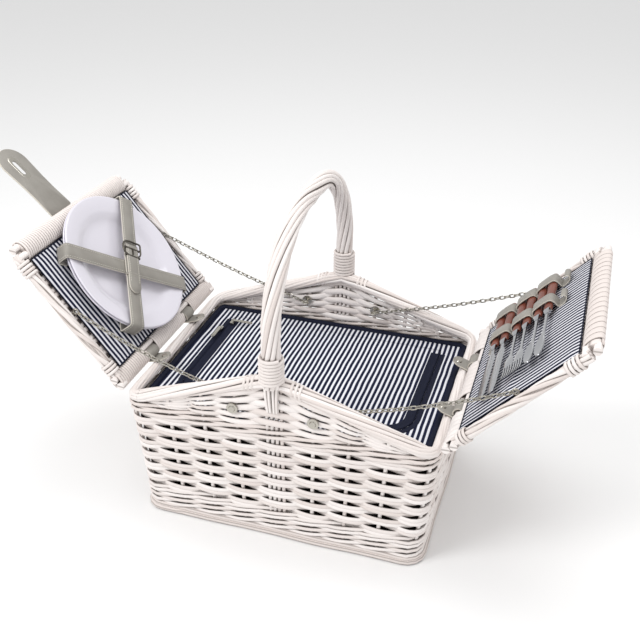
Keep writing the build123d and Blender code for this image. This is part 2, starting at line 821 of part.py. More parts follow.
def main():
    make_base()
    make_walls()
    make_handle()
    make_chain_bolts()
    make_tab_rivets()
    for side in (-1, 1):
        make_hinge_bar(side)
        make_hinge_tabs(side)
        make_lid_frame(side)
        make_chain_eyes(side)
        for front in (-1, 1):
            make_chain(side, front)
    make_bag()
    slider_x = -(flap_half_length() + flap_gap + slider_width / 2 + lock_gap)
    slider_y = flap_back() - slider_from_hinge
    make_zip_slider("zip_slider", slider_x, slider_y)
    make_zip_pull("zip_pull", slider_x, slider_y, (0, -1))
    parked_x = -(flap_half_length() - slider_width)
    parked_y = slider_y + 2 * slider_length
    make_zip_slider("parked_zip_slider", parked_x, parked_y)
    make_zip_pull("parked_zip_pull", parked_x, parked_y, (1, 0))
    make_plate("lower_plate", 0)
    make_plate("upper_plate", plate_pitch)
    make_plate_strap("plate_strap_plain", strap_b_ends, 0)
    make_plate_strap("plate_strap_buckled", strap_a_ends, strap_thickness + strap_clearance)
    make_buckle()
    make_closure()
    make_turn_lock()
    for name, kind, u in cutlery_places():
        make_cutlery(name, kind, u)
    for level, drop in loop_strip_from_butt.items():
        make_loop_strip(level, butt_y - drop)


main()
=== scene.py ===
"""The looks of a wicker picnic basket: willow work, striped cotton, leather, chains, plates and cutlery.

Sizes are in metres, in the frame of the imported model: +X along the length, -Y the front, +Z up.
"""

import json
import math

import bmesh
import bpy
import numpy as np
from mathutils import Matrix, Vector


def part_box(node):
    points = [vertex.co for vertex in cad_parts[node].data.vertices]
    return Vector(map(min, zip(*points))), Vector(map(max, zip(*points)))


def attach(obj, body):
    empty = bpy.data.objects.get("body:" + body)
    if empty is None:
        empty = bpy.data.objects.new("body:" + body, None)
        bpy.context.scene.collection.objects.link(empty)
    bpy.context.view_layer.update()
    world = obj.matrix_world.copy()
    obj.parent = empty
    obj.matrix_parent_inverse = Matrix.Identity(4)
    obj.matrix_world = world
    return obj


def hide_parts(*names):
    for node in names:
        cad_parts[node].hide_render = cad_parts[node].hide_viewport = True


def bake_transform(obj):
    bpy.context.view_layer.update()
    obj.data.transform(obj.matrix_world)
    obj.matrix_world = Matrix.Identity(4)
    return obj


bl_info = {
    "name": "Wicker Picnic Basket",
    "version": (1, 0, 0),
    "blender": (4, 5, 0),
    "location": "View3D > Sidebar > Basket",
    "description": "Builds a whitewashed willow picnic basket round its packed frame",
    "category": "Object",
}

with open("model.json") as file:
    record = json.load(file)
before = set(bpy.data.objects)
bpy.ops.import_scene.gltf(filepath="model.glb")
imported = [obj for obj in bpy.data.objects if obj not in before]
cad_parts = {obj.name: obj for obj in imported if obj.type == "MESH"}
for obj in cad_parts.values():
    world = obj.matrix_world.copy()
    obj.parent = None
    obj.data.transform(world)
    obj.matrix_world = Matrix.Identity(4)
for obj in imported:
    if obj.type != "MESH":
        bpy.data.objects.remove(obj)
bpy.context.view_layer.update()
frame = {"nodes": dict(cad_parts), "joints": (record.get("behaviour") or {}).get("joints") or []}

MM = 0.001
FRONT, BACK = -1, 1
LEFT, RIGHT = -1, 1


# Places and sizes read from the frame

def joint(name):
    return next(j for j in frame["joints"] if j["name"] == name)


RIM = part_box("rim_border")
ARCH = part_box("handle_arch")
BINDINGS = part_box("handle_bindings")
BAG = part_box("bag_body")
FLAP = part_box("bag_flap")
HINGE_X = abs(joint("lid_left_hinge")["pos_m"][0])
HINGE_Z = joint("lid_left_hinge")["pos_m"][2]
RIM_PROUD = 1 * MM
RIM_HALF = RIM[1].x - RIM_PROUD
PEAK = RIM[1].z
RIM_THICK = 16 * MM
END_RIM = RIM[0].z + RIM_THICK
ROOF_SLOPE = (PEAK - END_RIM) / RIM_HALF
CLOSED_SLOPE = math.atan(ROOF_SLOPE)
BASE_HALF = Vector((184.5, 139.5)) * MM
TOP_HALF = Vector((200.0, 149.0)) * MM
CORNER = 24 * MM


def half_sizes(z):
    """Half the outside length and depth of the basket at a height."""
    x = BASE_HALF.x + (TOP_HALF.x - BASE_HALF.x) * z / (176 * MM)
    y = BASE_HALF.y + (TOP_HALF.y - BASE_HALF.y) * z / PEAK
    return x, y


def roof(x):
    """Height of the rim's top over a place along the length."""
    return PEAK - ROOF_SLOPE * abs(x)


def open_angle(side):
    """How far a lid stands above the horizontal at rest."""
    hinge = joint("lid_left_hinge" if side == LEFT else "lid_right_hinge")
    return math.pi - CLOSED_SLOPE + math.radians(hinge["range_deg"][0])


def lid_matrix(side):
    """From a lid's own directions (out from the hinge, along Y, inwards) to the frame."""
    a = open_angle(side)
    along = Vector((side * math.cos(a), 0, math.sin(a)))
    inwards = Vector((-side * math.sin(a), 0, math.cos(a)))
    matrix = Matrix((along, (0, 1, 0), inwards)).transposed().to_4x4()
    matrix.translation = Vector((side * HINGE_X, 0, HINGE_Z))
    return matrix


def lid_body(side):
    return "lid_left" if side == LEFT else "lid_right"


# Node and mesh helpers

def srgb(code):
    """A hex colour as linear red, green, blue and alpha."""
    parts = [int(code[i:i + 2], 16) / 255 for i in (1, 3, 5)]
    return [p / 12.92 if p <= 0.04045 else ((p + 0.055) / 1.055) ** 2.4 for p in parts] + [1.0]


def node(tree, kind, inputs=(), **settings):
    """Adds a node. Inputs maps a socket's name or number to a value or to another node's socket."""
    made = tree.nodes.new(kind)
    for name, value in settings.items():
        setattr(made, name, value)
    for key, value in dict(inputs).items():
        if isinstance(value, bpy.types.NodeSocket):
            tree.links.new(value, made.inputs[key])
        else:
            made.inputs[key].default_value = value
    return made


def math_node(tree, operation, *values):
    return node(tree, "ShaderNodeMath", dict(enumerate(values)), operation=operation).outputs[0]


def new_material(name):
    material = bpy.data.materials.new(name)
    material.use_nodes = True
    tree = material.node_tree
    shader = tree.nodes["Principled BSDF"]
    return material, tree, shader


def mesh_object(name, vertices, faces, material, transform=None, smooth=True, recalculate=True):
    """A linked mesh object in the frame's place, its faces pointing outwards."""
    mesh = bpy.data.meshes.new(name)
    mesh.from_pydata([tuple(v) for v in vertices], [], [tuple(f) for f in faces])
    if transform is not None:
        mesh.transform(transform)
    made = bpy.data.objects.new(name, mesh)
    bpy.context.scene.collection.objects.link(made)
    if material:
        mesh.materials.append(material)
    tidy_mesh(made, smooth, recalculate)
    return made


def tidy_mesh(made, smooth=True, recalculate=True, angle=50):
    """Points a mesh's faces outwards and shades it smooth except over sharp edges."""
    work = bmesh.new()
    work.from_mesh(made.data)
    if recalculate:
        bmesh.ops.recalc_face_normals(work, faces=work.faces)
    for face in work.faces:
        face.smooth = smooth
    for edge in work.edges:
        edge.smooth = len(edge.link_faces) != 2 or edge.calc_face_angle(0) < math.radians(angle)
    work.to_mesh(made.data)
    work.free()


def join(name, pieces):
    """Joins objects into one mesh object; each keeps its material."""
    bpy.ops.object.select_all(action="DESELECT")
    for piece in pieces:
        piece.select_set(True)
    bpy.context.view_layer.objects.active = pieces[0]
    if len(pieces) > 1:
        bpy.ops.object.join()
    pieces[0].name = name
    pieces[0].data.name = name
    return pieces[0]


def settle(piece, body, slot, *nodes):
    """Gives a piece its body and hides the frame nodes that it stands for. Its slot is not used."""
    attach(piece, body)
    if nodes:
        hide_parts(*nodes)
    return piece


def finished_mesh(source, name):
    """The evaluated result of an object's modifiers as a plain mesh object, in place of it."""
    graph = bpy.context.evaluated_depsgraph_get()
    mesh = bpy.data.meshes.new_from_object(source.evaluated_get(graph))
    bpy.data.objects.remove(source)
    made = bpy.data.objects.new(name, mesh)
    mesh.name = name
    bpy.context.scene.collection.objects.link(made)
    tidy_mesh(made, recalculate=False)
    return made


def set_inputs(modifier, values):
    """Sets a Geometry Nodes modifier's inputs by the identifiers of their named sockets."""
    for item in modifier.node_group.interface.items_tree:
        if getattr(item, "in_out", None) == "INPUT" and item.name in values:
            modifier[item.identifier] = values[item.name]


def new_geometry_tree(name, sockets):
    """A Geometry Nodes tree with named inputs, and its input and output nodes."""
    tree = bpy.data.node_groups.new(name, "GeometryNodeTree")
    tree.interface.new_socket("Geometry", in_out="INPUT", socket_type="NodeSocketGeometry")
    for label, kind, default in sockets:
        made = tree.interface.new_socket(label, in_out="INPUT", socket_type=kind)
        if default is not None:
            made.default_value = default
    tree.interface.new_socket("Geometry", in_out="OUTPUT", socket_type="NodeSocketGeometry")
    return tree, node(tree, "NodeGroupInput").outputs


def end_tree(tree, geometry, material):
    """Ends a tree in Realize Instances and Set Material."""
    real = node(tree, "GeometryNodeRealizeInstances", {"Geometry": geometry})
    painted = node(tree, "GeometryNodeSetMaterial", {"Geometry": real.outputs[0], "Material": material})
    node(tree, "NodeGroupOutput", {0: painted.outputs[0]})


def rod_tree():
    """Willow rods: thick, slightly uneven tubes along guide lines that weave in and out."""
    tree, given = new_geometry_tree("Willow rods", (
        ("Weave Depth", "NodeSocketFloat", 4.2 * MM),
        ("Half Thickness", "NodeSocketFloat", 2.2 * MM),
        ("Half Width", "NodeSocketFloat", 3.2 * MM),
        ("Unevenness", "NodeSocketFloat", 0.5 * MM),
        ("Sides", "NodeSocketInt", 8),
        ("Seed", "NodeSocketInt", 3),
        ("Material", "NodeSocketMaterial", None),
    ))
    wave = node(tree, "GeometryNodeInputNamedAttribute", {"Name": "wave"}, data_type="FLOAT")
    out = node(tree, "GeometryNodeInputNamedAttribute", {"Name": "out"}, data_type="FLOAT_VECTOR")
    tone = node(tree, "GeometryNodeInputNamedAttribute", {"Name": "tone"}, data_type="FLOAT")
    swing = math_node(tree, "MULTIPLY", wave.outputs[0], given["Weave Depth"])
    moved = node(tree, "ShaderNodeVectorMath", {0: out.outputs[0], "Scale": swing}, operation="SCALE")
    place = node(tree, "GeometryNodeInputPosition")
    seed = math_node(tree, "ADD", math_node(tree, "MULTIPLY", tone.outputs[0], 40.0), given["Seed"])
    noise = node(tree, "ShaderNodeTexNoise", {"Vector": place.outputs[0], "W": seed, "Scale": 22.0},
                 noise_dimensions="4D")
    centred = node(tree, "ShaderNodeVectorMath", {0: noise.outputs["Color"], 1: (0.5, 0.5, 0.5)},
                   operation="SUBTRACT")
    twice = math_node(tree, "MULTIPLY", given["Unevenness"], 4.0)
    wander = node(tree, "ShaderNodeVectorMath", {0: centred.outputs[0], "Scale": twice}, operation="SCALE")
    offset = node(tree, "ShaderNodeVectorMath", {0: moved.outputs[0], 1: wander.outputs[0]})
    shifted = node(tree, "GeometryNodeSetPosition", {
        "Geometry": given["Geometry"], "Offset": offset.outputs[0],
    })
    lines = node(tree, "GeometryNodeMeshToCurve", {"Mesh": shifted.outputs[0]})
    length = node(tree, "GeometryNodeSplineParameter")
    marked = node(tree, "GeometryNodeStoreNamedAttribute", {
        "Geometry": lines.outputs[0], "Name": "along", "Value": length.outputs["Length"],
    }, data_type="FLOAT", domain="POINT")
    side = node(tree, "GeometryNodeInputNamedAttribute", {"Name": "side"}, data_type="FLOAT_VECTOR")
    upright = node(tree, "GeometryNodeSetCurveNormal", {
        "Curve": marked.outputs[0], "Normal": side.outputs[0],
    }, mode="FREE")
    circle = node(tree, "GeometryNodeCurvePrimitiveCircle", {"Resolution": given["Sides"], "Radius": 1.0})
    section = node(tree, "ShaderNodeCombineXYZ", {
        "X": given["Half Thickness"], "Y": given["Half Width"], "Z": 1.0,
    })
    oval = node(tree, "GeometryNodeTransform", {"Geometry": circle.outputs[0], "Scale": section.outputs[0]})
    turn = node(tree, "GeometryNodeSplineParameter")
    facing = math_node(tree, "COSINE", math_node(tree, "MULTIPLY", turn.outputs["Factor"], 2 * math.pi))
    rounded = node(tree, "GeometryNodeStoreNamedAttribute", {
        "Geometry": oval.outputs[0], "Name": "facing", "Value": facing,
    }, data_type="FLOAT", domain="POINT")
    girth = node(tree, "GeometryNodeInputNamedAttribute", {"Name": "girth"}, data_type="FLOAT")
    tube = node(tree, "GeometryNodeCurveToMesh", {
        "Curve": upright.outputs[0], "Profile Curve": rounded.outputs[0], "Scale": girth.outputs[0],
        "Fill Caps": True,
    })
    smooth = node(tree, "GeometryNodeSetShadeSmooth", {"Geometry": tube.outputs[0]})
    end_tree(tree, smooth.outputs[0], given["Material"])
    return tree


def path_tree():
    """Copies of one small shape at even steps along guide lines, each turned by a further angle."""
    tree, given = new_geometry_tree("Copies along a path", (
        ("Step", "NodeSocketFloat", 5 * MM),
        ("Turn", "NodeSocketFloat", 0.0),
        ("Shape", "NodeSocketObject", None),
        ("Material", "NodeSocketMaterial", None),
    ))
    lines = node(tree, "GeometryNodeMeshToCurve", {"Mesh": given["Geometry"]})
    even = node(tree, "GeometryNodeResampleCurve", {"Curve": lines.outputs[0], "Length": given["Step"]},
                mode="LENGTH")
    upright = node(tree, "GeometryNodeSetCurveNormal", {"Curve": even.outputs[0]}, mode="Z_UP")
    tangent = node(tree, "GeometryNodeInputTangent")
    normal = node(tree, "GeometryNodeInputNormal")
    axes = node(tree, "FunctionNodeAxesToRotation", {
        "Primary Axis": tangent.outputs[0], "Secondary Axis": normal.outputs[0],
    }, primary_axis="X", secondary_axis="Y")
    index = node(tree, "GeometryNodeInputIndex")
    angle = math_node(tree, "MULTIPLY", index.outputs[0], given["Turn"])
    spin = node(tree, "ShaderNodeCombineXYZ", {"X": angle})
    turned = node(tree, "FunctionNodeRotateRotation", {
        "Rotation": axes.outputs[0], "Rotate By": spin.outputs[0],
    }, rotation_space="LOCAL")
    shape = node(tree, "GeometryNodeObjectInfo", {"Object": given["Shape"]})
    copies = node(tree, "GeometryNodeInstanceOnPoints", {
        "Points": upright.outputs[0], "Instance": shape.outputs["Geometry"], "Rotation": turned.outputs[0],
    })
    end_tree(tree, copies.outputs[0], given["Material"])
    return tree


def tree_named(name, make):
    return bpy.data.node_groups.get(name) or make()


def side_directions(points, wanted, closed):
    """The side of a rod's section at each point: as wanted, or carried along without a twist."""
    found = []
    for i, travel in enumerate(frames(points, closed)):
        side = Vector(wanted[i]) if wanted else (found[-1] if found else travel.orthogonal())
        side = side - travel * side.dot(travel)
        found.append(side.normalized() if side.length > 1e-9 else travel.orthogonal().normalized())
    return [tuple(side) for side in found]


def guide(name, lines):
    """A mesh of guide lines: each has points, and may have closed, wave, out, girth and tone."""
    points, edges, wave, out, tones, girth, sides = [], [], [], [], [], [], []
    for line in lines:
        places = [Vector(p) for p in line["points"]]
        first, count = len(points), len(places)
        points += places
        edges += [(first + i, first + i + 1) for i in range(count - 1)]
        if line.get("closed"):
            edges.append((first + count - 1, first))
        wave += list(line.get("wave", [0.0] * count))
        out += [tuple(v) for v in line.get("out", [(0, 0, 0)] * count)]
        tones += [line.get("tone", 0.5)] * count
        girth += list(line.get("girth", [1.0] * count))
        sides += side_directions(places, line.get("side") or line.get("out"), line.get("closed"))
    mesh = bpy.data.meshes.new(name)
    mesh.from_pydata(points, edges, [])
    for label, values in (("wave", wave), ("tone", tones), ("girth", girth)):
        mesh.attributes.new(label, "FLOAT", "POINT").data.foreach_set("value", np.array(values, np.float32))
    for label, values in (("out", out), ("side", sides)):
        directions = mesh.attributes.new(label, "FLOAT_VECTOR", "POINT")
        directions.data.foreach_set("vector", np.array(values, np.float32).ravel())
    made = bpy.data.objects.new(name, mesh)
    bpy.context.scene.collection.objects.link(made)
    return made


def rods(name, lines, material, thickness, width, depth=0.0, uneven=0.4 * MM, sides=8, seed=3):
    """Willow rods of an oval section along guide lines, as one plain mesh."""
    source = guide(name + "_guide", lines)
    modifier = source.modifiers.new("rods", "NODES")
    modifier.node_group = tree_named("Willow rods", rod_tree)
    set_inputs(modifier, {
        "Weave Depth": depth, "Half Thickness": thickness / 2, "Half Width": width / 2,
        "Unevenness": uneven, "Sides": sides, "Seed": seed, "Material": material,
    })
    return finished_mesh(source, name)


def copies(name, lines, shape, material, step, turn=0.0):
    """Copies of a small shape along guide lines, as one plain mesh."""
    source = guide(name + "_guide", lines)
    modifier = source.modifiers.new("copies", "NODES")
    modifier.node_group = tree_named("Copies along a path", path_tree)
    set_inputs(modifier, {"Step": step, "Turn": turn, "Shape": shape, "Material": material})
    made = finished_mesh(source, name)
    bpy.data.objects.remove(shape)
    return made


# Materials

def surface(name, colour, roughness, **values):
    """A plain Principled material with values set directly on its sockets."""
    material, tree, shader = new_material(name)
    shader.inputs["Base Color"].default_value = srgb(colour)
    shader.inputs["Roughness"].default_value = roughness
    for socket, value in values.items():
        shader.inputs[socket.replace("_", " ")].default_value = value
    return material, tree, shader


def bump(tree, shader, height, distance, strength=1.0, below=None):
    """Adds relief in metres to a material, over any relief given below it."""
    inputs = {"Height": height, "Distance": distance, "Strength": strength}
    if below:
        inputs["Normal"] = below
    made = node(tree, "ShaderNodeBump", inputs)
    tree.links.new(made.outputs[0], shader.inputs["Normal"])
    return made.outputs[0]


def blend_colours(tree, factor, first, second):
    made = node(tree, "ShaderNodeMix", {"Factor": factor, 6: first, 7: second}, data_type="RGBA")
    return made.outputs[2]


def remap(tree, value, low, high, to_low=0.0, to_high=1.0):
    return node(tree, "ShaderNodeMapRange", {
        "Value": value, "From Min": low, "From Max": high, "To Min": to_low, "To Max": to_high,
    }).outputs[0]


def whitewashed_willow():
    """Peeled willow rods under a thin white wash: brown grain shows along scratches. Recesses and the edges
    where rods meet are darkened to deep brown as painted shade, which partly also stands for bare willow
    that the wash missed.
    """
    material, tree, shader = surface("Whitewashed willow", "#E2DAD6", 0.62, Specular_IOR_Level=0.35)
    place = node(tree, "ShaderNodeTexCoord").outputs["Object"]
    along = node(tree, "ShaderNodeAttribute", attribute_name="along").outputs["Fac"]
    facing = node(tree, "ShaderNodeAttribute", attribute_name="facing").outputs["Fac"]
    tone = node(tree, "ShaderNodeAttribute", attribute_name="tone").outputs["Fac"]
    rod_place = node(tree, "ShaderNodeCombineXYZ", {
        "X": math_node(tree, "MULTIPLY", along, 18.0), "Y": math_node(tree, "MULTIPLY", facing, 2.5),
        "Z": math_node(tree, "MULTIPLY", tone, 90.0),
    })
    grain = node(tree, "ShaderNodeTexNoise", {
        "Vector": rod_place.outputs[0], "Scale": 1.0, "Detail": 4.0, "Roughness": 0.6,
    }).outputs["Fac"]
    blotch = node(tree, "ShaderNodeTexNoise", {"Vector": place, "Scale": 38.0, "Detail": 3.0}).outputs["Fac"]
    # Painted shade: ambient occlusion darkens recesses, and the two edges of each rod's oval section darken
    # where rods meet; both mix the wash towards deep brown, partly standing for bare willow.
    recess = node(tree, "ShaderNodeAmbientOcclusion", {"Distance": 9 * MM}, samples=6).outputs["AO"]
    worn = remap(tree, grain, 0.66, 0.78)
    worn = math_node(tree, "MULTIPLY", worn, remap(tree, blotch, 0.45, 0.65))
    recess_shade = remap(tree, recess, 0.52, 0.1, 0.0, 0.9)
    rod_edge_shade = remap(tree, math_node(tree, "ABSOLUTE", facing), 0.34, 0.0, 0.0, 0.62)
    painted_shade = math_node(tree, "MAXIMUM", recess_shade, rod_edge_shade)
    tinted = blend_colours(tree, tone, srgb("#F0EAE7"), srgb("#DDD3CE"))
    worn_colour = blend_colours(tree, math_node(tree, "MULTIPLY", worn, 0.7), tinted, srgb("#9C7F6B"))
    colour = blend_colours(tree, painted_shade, worn_colour, srgb("#57443A"))
    tree.links.new(colour, shader.inputs["Base Color"])
    bump(tree, shader, grain, 0.35 * MM, 0.6)
    return material


def striped_cotton(name, across, pitch):
    """Woven cotton in navy and white stripes, with a fine thread relief."""
    material, tree, shader = surface(name, "#1A1D2C", 0.9, Specular_IOR_Level=0.12)
    uv = node(tree, "ShaderNodeUVMap", uv_map="cloth").outputs[0]
    place = node(tree, "ShaderNodeSeparateXYZ", {0: uv})
    ripple = node(tree, "ShaderNodeTexNoise", {"Vector": uv, "Scale": 25.0, "Detail": 1.0}).outputs["Fac"]
    shift = math_node(tree, "MULTIPLY", math_node(tree, "SUBTRACT", ripple, 0.5), 2.0 * MM)
    crossing = math_node(tree, "ADD", place.outputs[across], shift)
    turns = math_node(tree, "DIVIDE", crossing, pitch)
    phase = math_node(tree, "FRACT", math_node(tree, "ADD", turns, 100.0))
    centred = math_node(tree, "ABSOLUTE", math_node(tree, "SUBTRACT", phase, 0.5))
    white = remap(tree, centred, 0.235, 0.205)
    thread = node(tree, "ShaderNodeTexNoise", {"Vector": uv, "Scale": 900.0, "Detail": 1.0}).outputs["Fac"]
    pale = blend_colours(tree, thread, srgb("#CDCED6"), srgb("#EDEDF1"))
    dark = blend_colours(tree, thread, srgb("#12152A"), srgb("#22273F"))
    tree.links.new(blend_colours(tree, white, dark, pale), shader.inputs["Base Color"])
    bump(tree, shader, thread, 0.1 * MM, 0.5)
    return material


def navy_binding():
    """Navy polyester tape and piping, a fine ribbed weave."""
    material, tree, shader = surface("Navy binding", "#0F1224", 0.8, Specular_IOR_Level=0.2)
    place = node(tree, "ShaderNodeTexCoord").outputs["Object"]
    weave = node(tree, "ShaderNodeTexVoronoi", {"Vector": place, "Scale": 900.0}).outputs["Distance"]
    tree.links.new(blend_colours(tree, weave, srgb("#0B0E1D"), srgb("#191E33")), shader.inputs["Base Color"])
    bump(tree, shader, weave, 0.2 * MM, 0.5)
    return material


def grey_leather():
    """Grey split leather with a fine pebble and a slightly lighter wear."""
    material, tree, shader = surface("Grey leather", "#928E87", 0.5, Specular_IOR_Level=0.4)
    place = node(tree, "ShaderNodeTexCoord").outputs["Object"]
    pebble = node(tree, "ShaderNodeTexVoronoi", {"Vector": place, "Scale": 750.0}).outputs["Distance"]
    mottle = node(tree, "ShaderNodeTexNoise", {"Vector": place, "Scale": 45.0, "Detail": 4.0}).outputs["Fac"]
    colour = blend_colours(tree, mottle, srgb("#827E77"), srgb("#A19D96"))
    tree.links.new(colour, shader.inputs["Base Color"])
    bump(tree, shader, pebble, 0.15 * MM, 0.5)
    return material


def metal(name, colour, roughness, smudge=0.08):
    """A metal with faint handling marks."""
    material, tree, shader = surface(name, colour, roughness, Metallic=1.0)
    place = node(tree, "ShaderNodeTexCoord").outputs["Object"]
    marks = node(tree, "ShaderNodeTexNoise", {"Vector": place, "Scale": 160.0, "Detail": 3.0}).outputs["Fac"]
    tree.links.new(remap(tree, marks, 0.3, 0.7, roughness, roughness + smudge), shader.inputs["Roughness"])
    return material


def red_brown_grip():
    """Moulded red-brown plastic grips with a faint cloudy figure."""
    material, tree, shader = surface("Red-brown grips", "#70392D", 0.38, Coat_Weight=0.2)
    place = node(tree, "ShaderNodeTexCoord").outputs["Object"]
    cloud = node(tree, "ShaderNodeTexNoise", {"Vector": place, "Scale": 60.0, "Detail": 3.0}).outputs["Fac"]
    tree.links.new(blend_colours(tree, cloud, srgb("#5E2D23"), srgb("#854938")), shader.inputs["Base Color"])
    return material


def foil():
    """Aluminised insulation inside the bag, with a crinkled face."""
    material, tree, shader = surface("Insulating foil", "#B9BCC2", 0.35, Metallic=0.8)
    place = node(tree, "ShaderNodeTexCoord").outputs["Object"]
    crinkle = node(tree, "ShaderNodeTexNoise", {"Vector": place, "Scale": 70.0, "Detail": 2.0})
    bump(tree, shader, crinkle.outputs["Fac"], 2 * MM, 0.5)
    return material


MATERIALS = {}


def material(name):
    """A material of the scene, made when it is first asked for."""
    makers = {
        "willow": whitewashed_willow,
        "stripes": lambda: striped_cotton("Striped cotton", 1, 7.0 * MM),
        "bag stripes": lambda: striped_cotton("Striped bag cotton", 0, 6.5 * MM),
        "navy": navy_binding,
        "leather": grey_leather,
        "cut edge": lambda: surface("Leather cut edge", "#C9C3B8", 0.7)[0],
        "thread": lambda: surface("Pale thread", "#D6D1C6", 0.8)[0],
        "nickel": lambda: metal("Nickelled steel", "#B5B1A8", 0.2),
        "dark steel": lambda: metal("Darkened steel", "#5F5B54", 0.3),
        "stainless": lambda: metal("Stainless steel", "#B9BABD", 0.12, 0.05),
        "porcelain": lambda: surface("Glazed porcelain", "#DFDCE5", 0.12, Coat_Weight=0.4)[0],
        # Painted shade: the bag's sides behind the wicker are a near-black brown, so that the slots of the
        # weave read as shade.
        "bag sides": lambda: surface("Bag sides in painted shade", "#1E1818", 0.9, Specular_IOR_Level=0.1)[0],
        "grip": red_brown_grip,
        "foil": foil,
        "floor": lambda: surface("Studio floor", "#F4F4F4", 0.9, Specular_IOR_Level=0.1)[0],
    }
    if name not in MATERIALS:
        MATERIALS[name] = makers[name]()
    return MATERIALS[name]


# Willow work: guide lines

STAKES_LONG = (-0.714, -0.476, -0.248, 0.0, 0.248, 0.476, 0.714)  # share of half the length
STAKES_SHORT = (-0.64, -0.32, 0.0, 0.32, 0.64)
ROW_PITCH = 9 * MM
WEAVE_LOW = 42 * MM
WEAVE_ROWS = 13
WAVE = 3.7 * MM
ROD_THICK = 3.3 * MM
ROD_WIDE = 7.2 * MM
WALL_MIDDLE = 6.7 * MM  # weavers' centre line inside the outer face
UPPER_BAND_HEIGHTS = (157, 165)  # millimetres
FOOT_BAND_HEIGHTS = (14.5, 22.5, 30.5, 36.5)  # millimetres
FOOT_EDGE_RODS = ((1.5, 3.7), (7.5, 3.7), (4.0, 9.0))  # inset and height, millimetres
BASE_MIDDLE = 6 * MM
BASE_EDGE = 13 * MM  # from the foot's outer face to the base's edge
BASE_ROWS = 30
BASE_STAKE_PITCH = 46 * MM
GABLE_LOW = 168 * MM
GABLE_ROWS = 9
LEG_LASHINGS = (-34, -29, -24, 24, 29, 34)  # places along the rim, millimetres
HANDLE_ROD_INSET = 15 * MM  # from the bindings' outer side to the handle's middle line
RNG = np.random.default_rng(11)


def tone():
    return float(RNG.uniform(0.0, 1.0))


class Outline:
    """The basket's rounded outline at a height, drawn in by an inset."""

    def __init__(self, z, inset):
        self.z = z
        self.half = [v - inset for v in half_sizes(z)]
        self.radius = CORNER - inset
        self.bend = math.pi * self.radius / 2
        self.run = [2 * (v - self.radius) for v in self.half]
        self.total = 2 * sum(self.run) + 4 * self.bend
        self.marks = []
        start = 0.0
        for side in range(4):
            for share in STAKES_SHORT if side % 2 else STAKES_LONG:
                self.marks.append(start + self.run[side % 2] / 2 + share * self.half[side % 2])
            self.marks.append(start + self.run[side % 2] + self.bend / 2)
            start += self.run[side % 2] + self.bend

    def at(self, s):
        """The point and the outward direction at a distance along the outline."""
        s %= self.total
        side = 0
        while s > self.run[side % 2] + self.bend:
            s -= self.run[side % 2] + self.bend
            side += 1
        out = ((0, -1), (1, 0), (0, 1), (-1, 0))[side % 4]
        out = Vector((*out, 0))
        along = Vector((-out.y, out.x, 0))
        run, across = self.run[side % 2], self.half[(side + 1) % 2]
        start = out * across - along * (run / 2) + Vector((0, 0, self.z))
        if s <= run:
            return start + along * s, out
        angle = (s - run) / self.radius
        centre = start + along * run - out * self.radius
        normal = out * math.cos(angle) + along * math.sin(angle)
        return centre + normal * self.radius, normal

    def samples(self, step):
        """Points round the outline with the running number of the stake last passed."""
        found = []
        for i, s0 in enumerate(self.marks):
            s1 = self.marks[i + 1] if i + 1 < len(self.marks) else self.marks[0] + self.total
            count = max(3, round((s1 - s0) / step))
            found += [(*self.at(s0 + (s1 - s0) * j / count), i + j / count) for j in range(count)]
        return found


def randed_row(z, row, offset, step=5.5 * MM):
    """One rod of a plain woven row: in front of every second stake, behind the others."""
    points, wave, out, girth = [], [], [], []
    for point, normal, count in Outline(z, WALL_MIDDLE).samples(step):
        w = math.cos(math.pi * count) * (-1) ** row
        full = min(1.0, (w + 1) / 0.4)
        points.append(point + Vector((0, 0, offset * (1.2 + 1.5 * full) * MM)))
        wave.append(math.copysign(abs(w) ** 0.7, w))
        out.append(normal)
        girth.append(0.6 + 0.25 * full)
    return {"points": points, "closed": True, "wave": wave, "out": out, "girth": girth, "tone": tone()}


def waled_row(z, step=9 * MM):
    """Three rods worked in turn as one line: before two stakes, behind one, like a flat rope."""
    base = Outline(z, WALL_MIDDLE).samples(step)
    stakes = len(Outline(z, WALL_MIDDLE).marks)
    points, wave, out = [], [], []
    for lap in range(3):
        for point, normal, count in base:
            phase = 2 * math.pi * (count + lap * stakes) / 3
            points.append(point + Vector((0, 0, 3.2 * MM * math.sin(phase))))
            wave.append(0.2 + 0.9 * math.cos(phase))
            out.append(normal)
    return {"points": points, "closed": True, "wave": wave, "out": out, "tone": tone()}


def gable_rows():
    """Finer rows in the pointed part of the long walls, fanned between the upper band and the rim."""
    lines = []
    low, count, step = GABLE_LOW, GABLE_ROWS, 6 * MM
    for front in (FRONT, BACK):
        reaches = [(180 if row % 4 == 0 else 150 if row % 2 == 0 else 118) * MM * RNG.uniform(0.92, 1.0)
                   for row in range(count)]
        for row, reach in enumerate(reaches):
            points, wave, girth = [], [], []
            number = round(2 * reach / step)
            marks = [share * half_sizes(low)[0] for share in STAKES_LONG]
            for i in range(number + 1):
                x = -reach + 2 * reach * i / number
                top = roof(x) - RIM_THICK + 1 * MM
                gap = (top - low) / count
                z = low + gap * (row + 0.5)
                y = front * (half_sizes(z)[1] - WALL_MIDDLE)
                points.append(Vector((x, y, z)))
                stake = float(np.interp(x, marks, range(len(marks))))
                w = math.cos(math.pi * stake) * (-1) ** row
                ending = max(0.0, 1 - (reach - abs(x)) / (9 * MM))
                wave.append(w * min(1.0, gap / (4 * MM)) * (1 - ending) - ending)
                crowd = count / sum(other > abs(x) - 1 * MM for other in reaches)
                girth.append(max(0.42, min(1.5, 1.5 * gap * crowd / (6.2 * MM))))
            lines.append({
                "points": points, "wave": wave, "out": [(0, front, 0)] * len(points),
                "girth": girth, "tone": tone(),
            })
    return lines


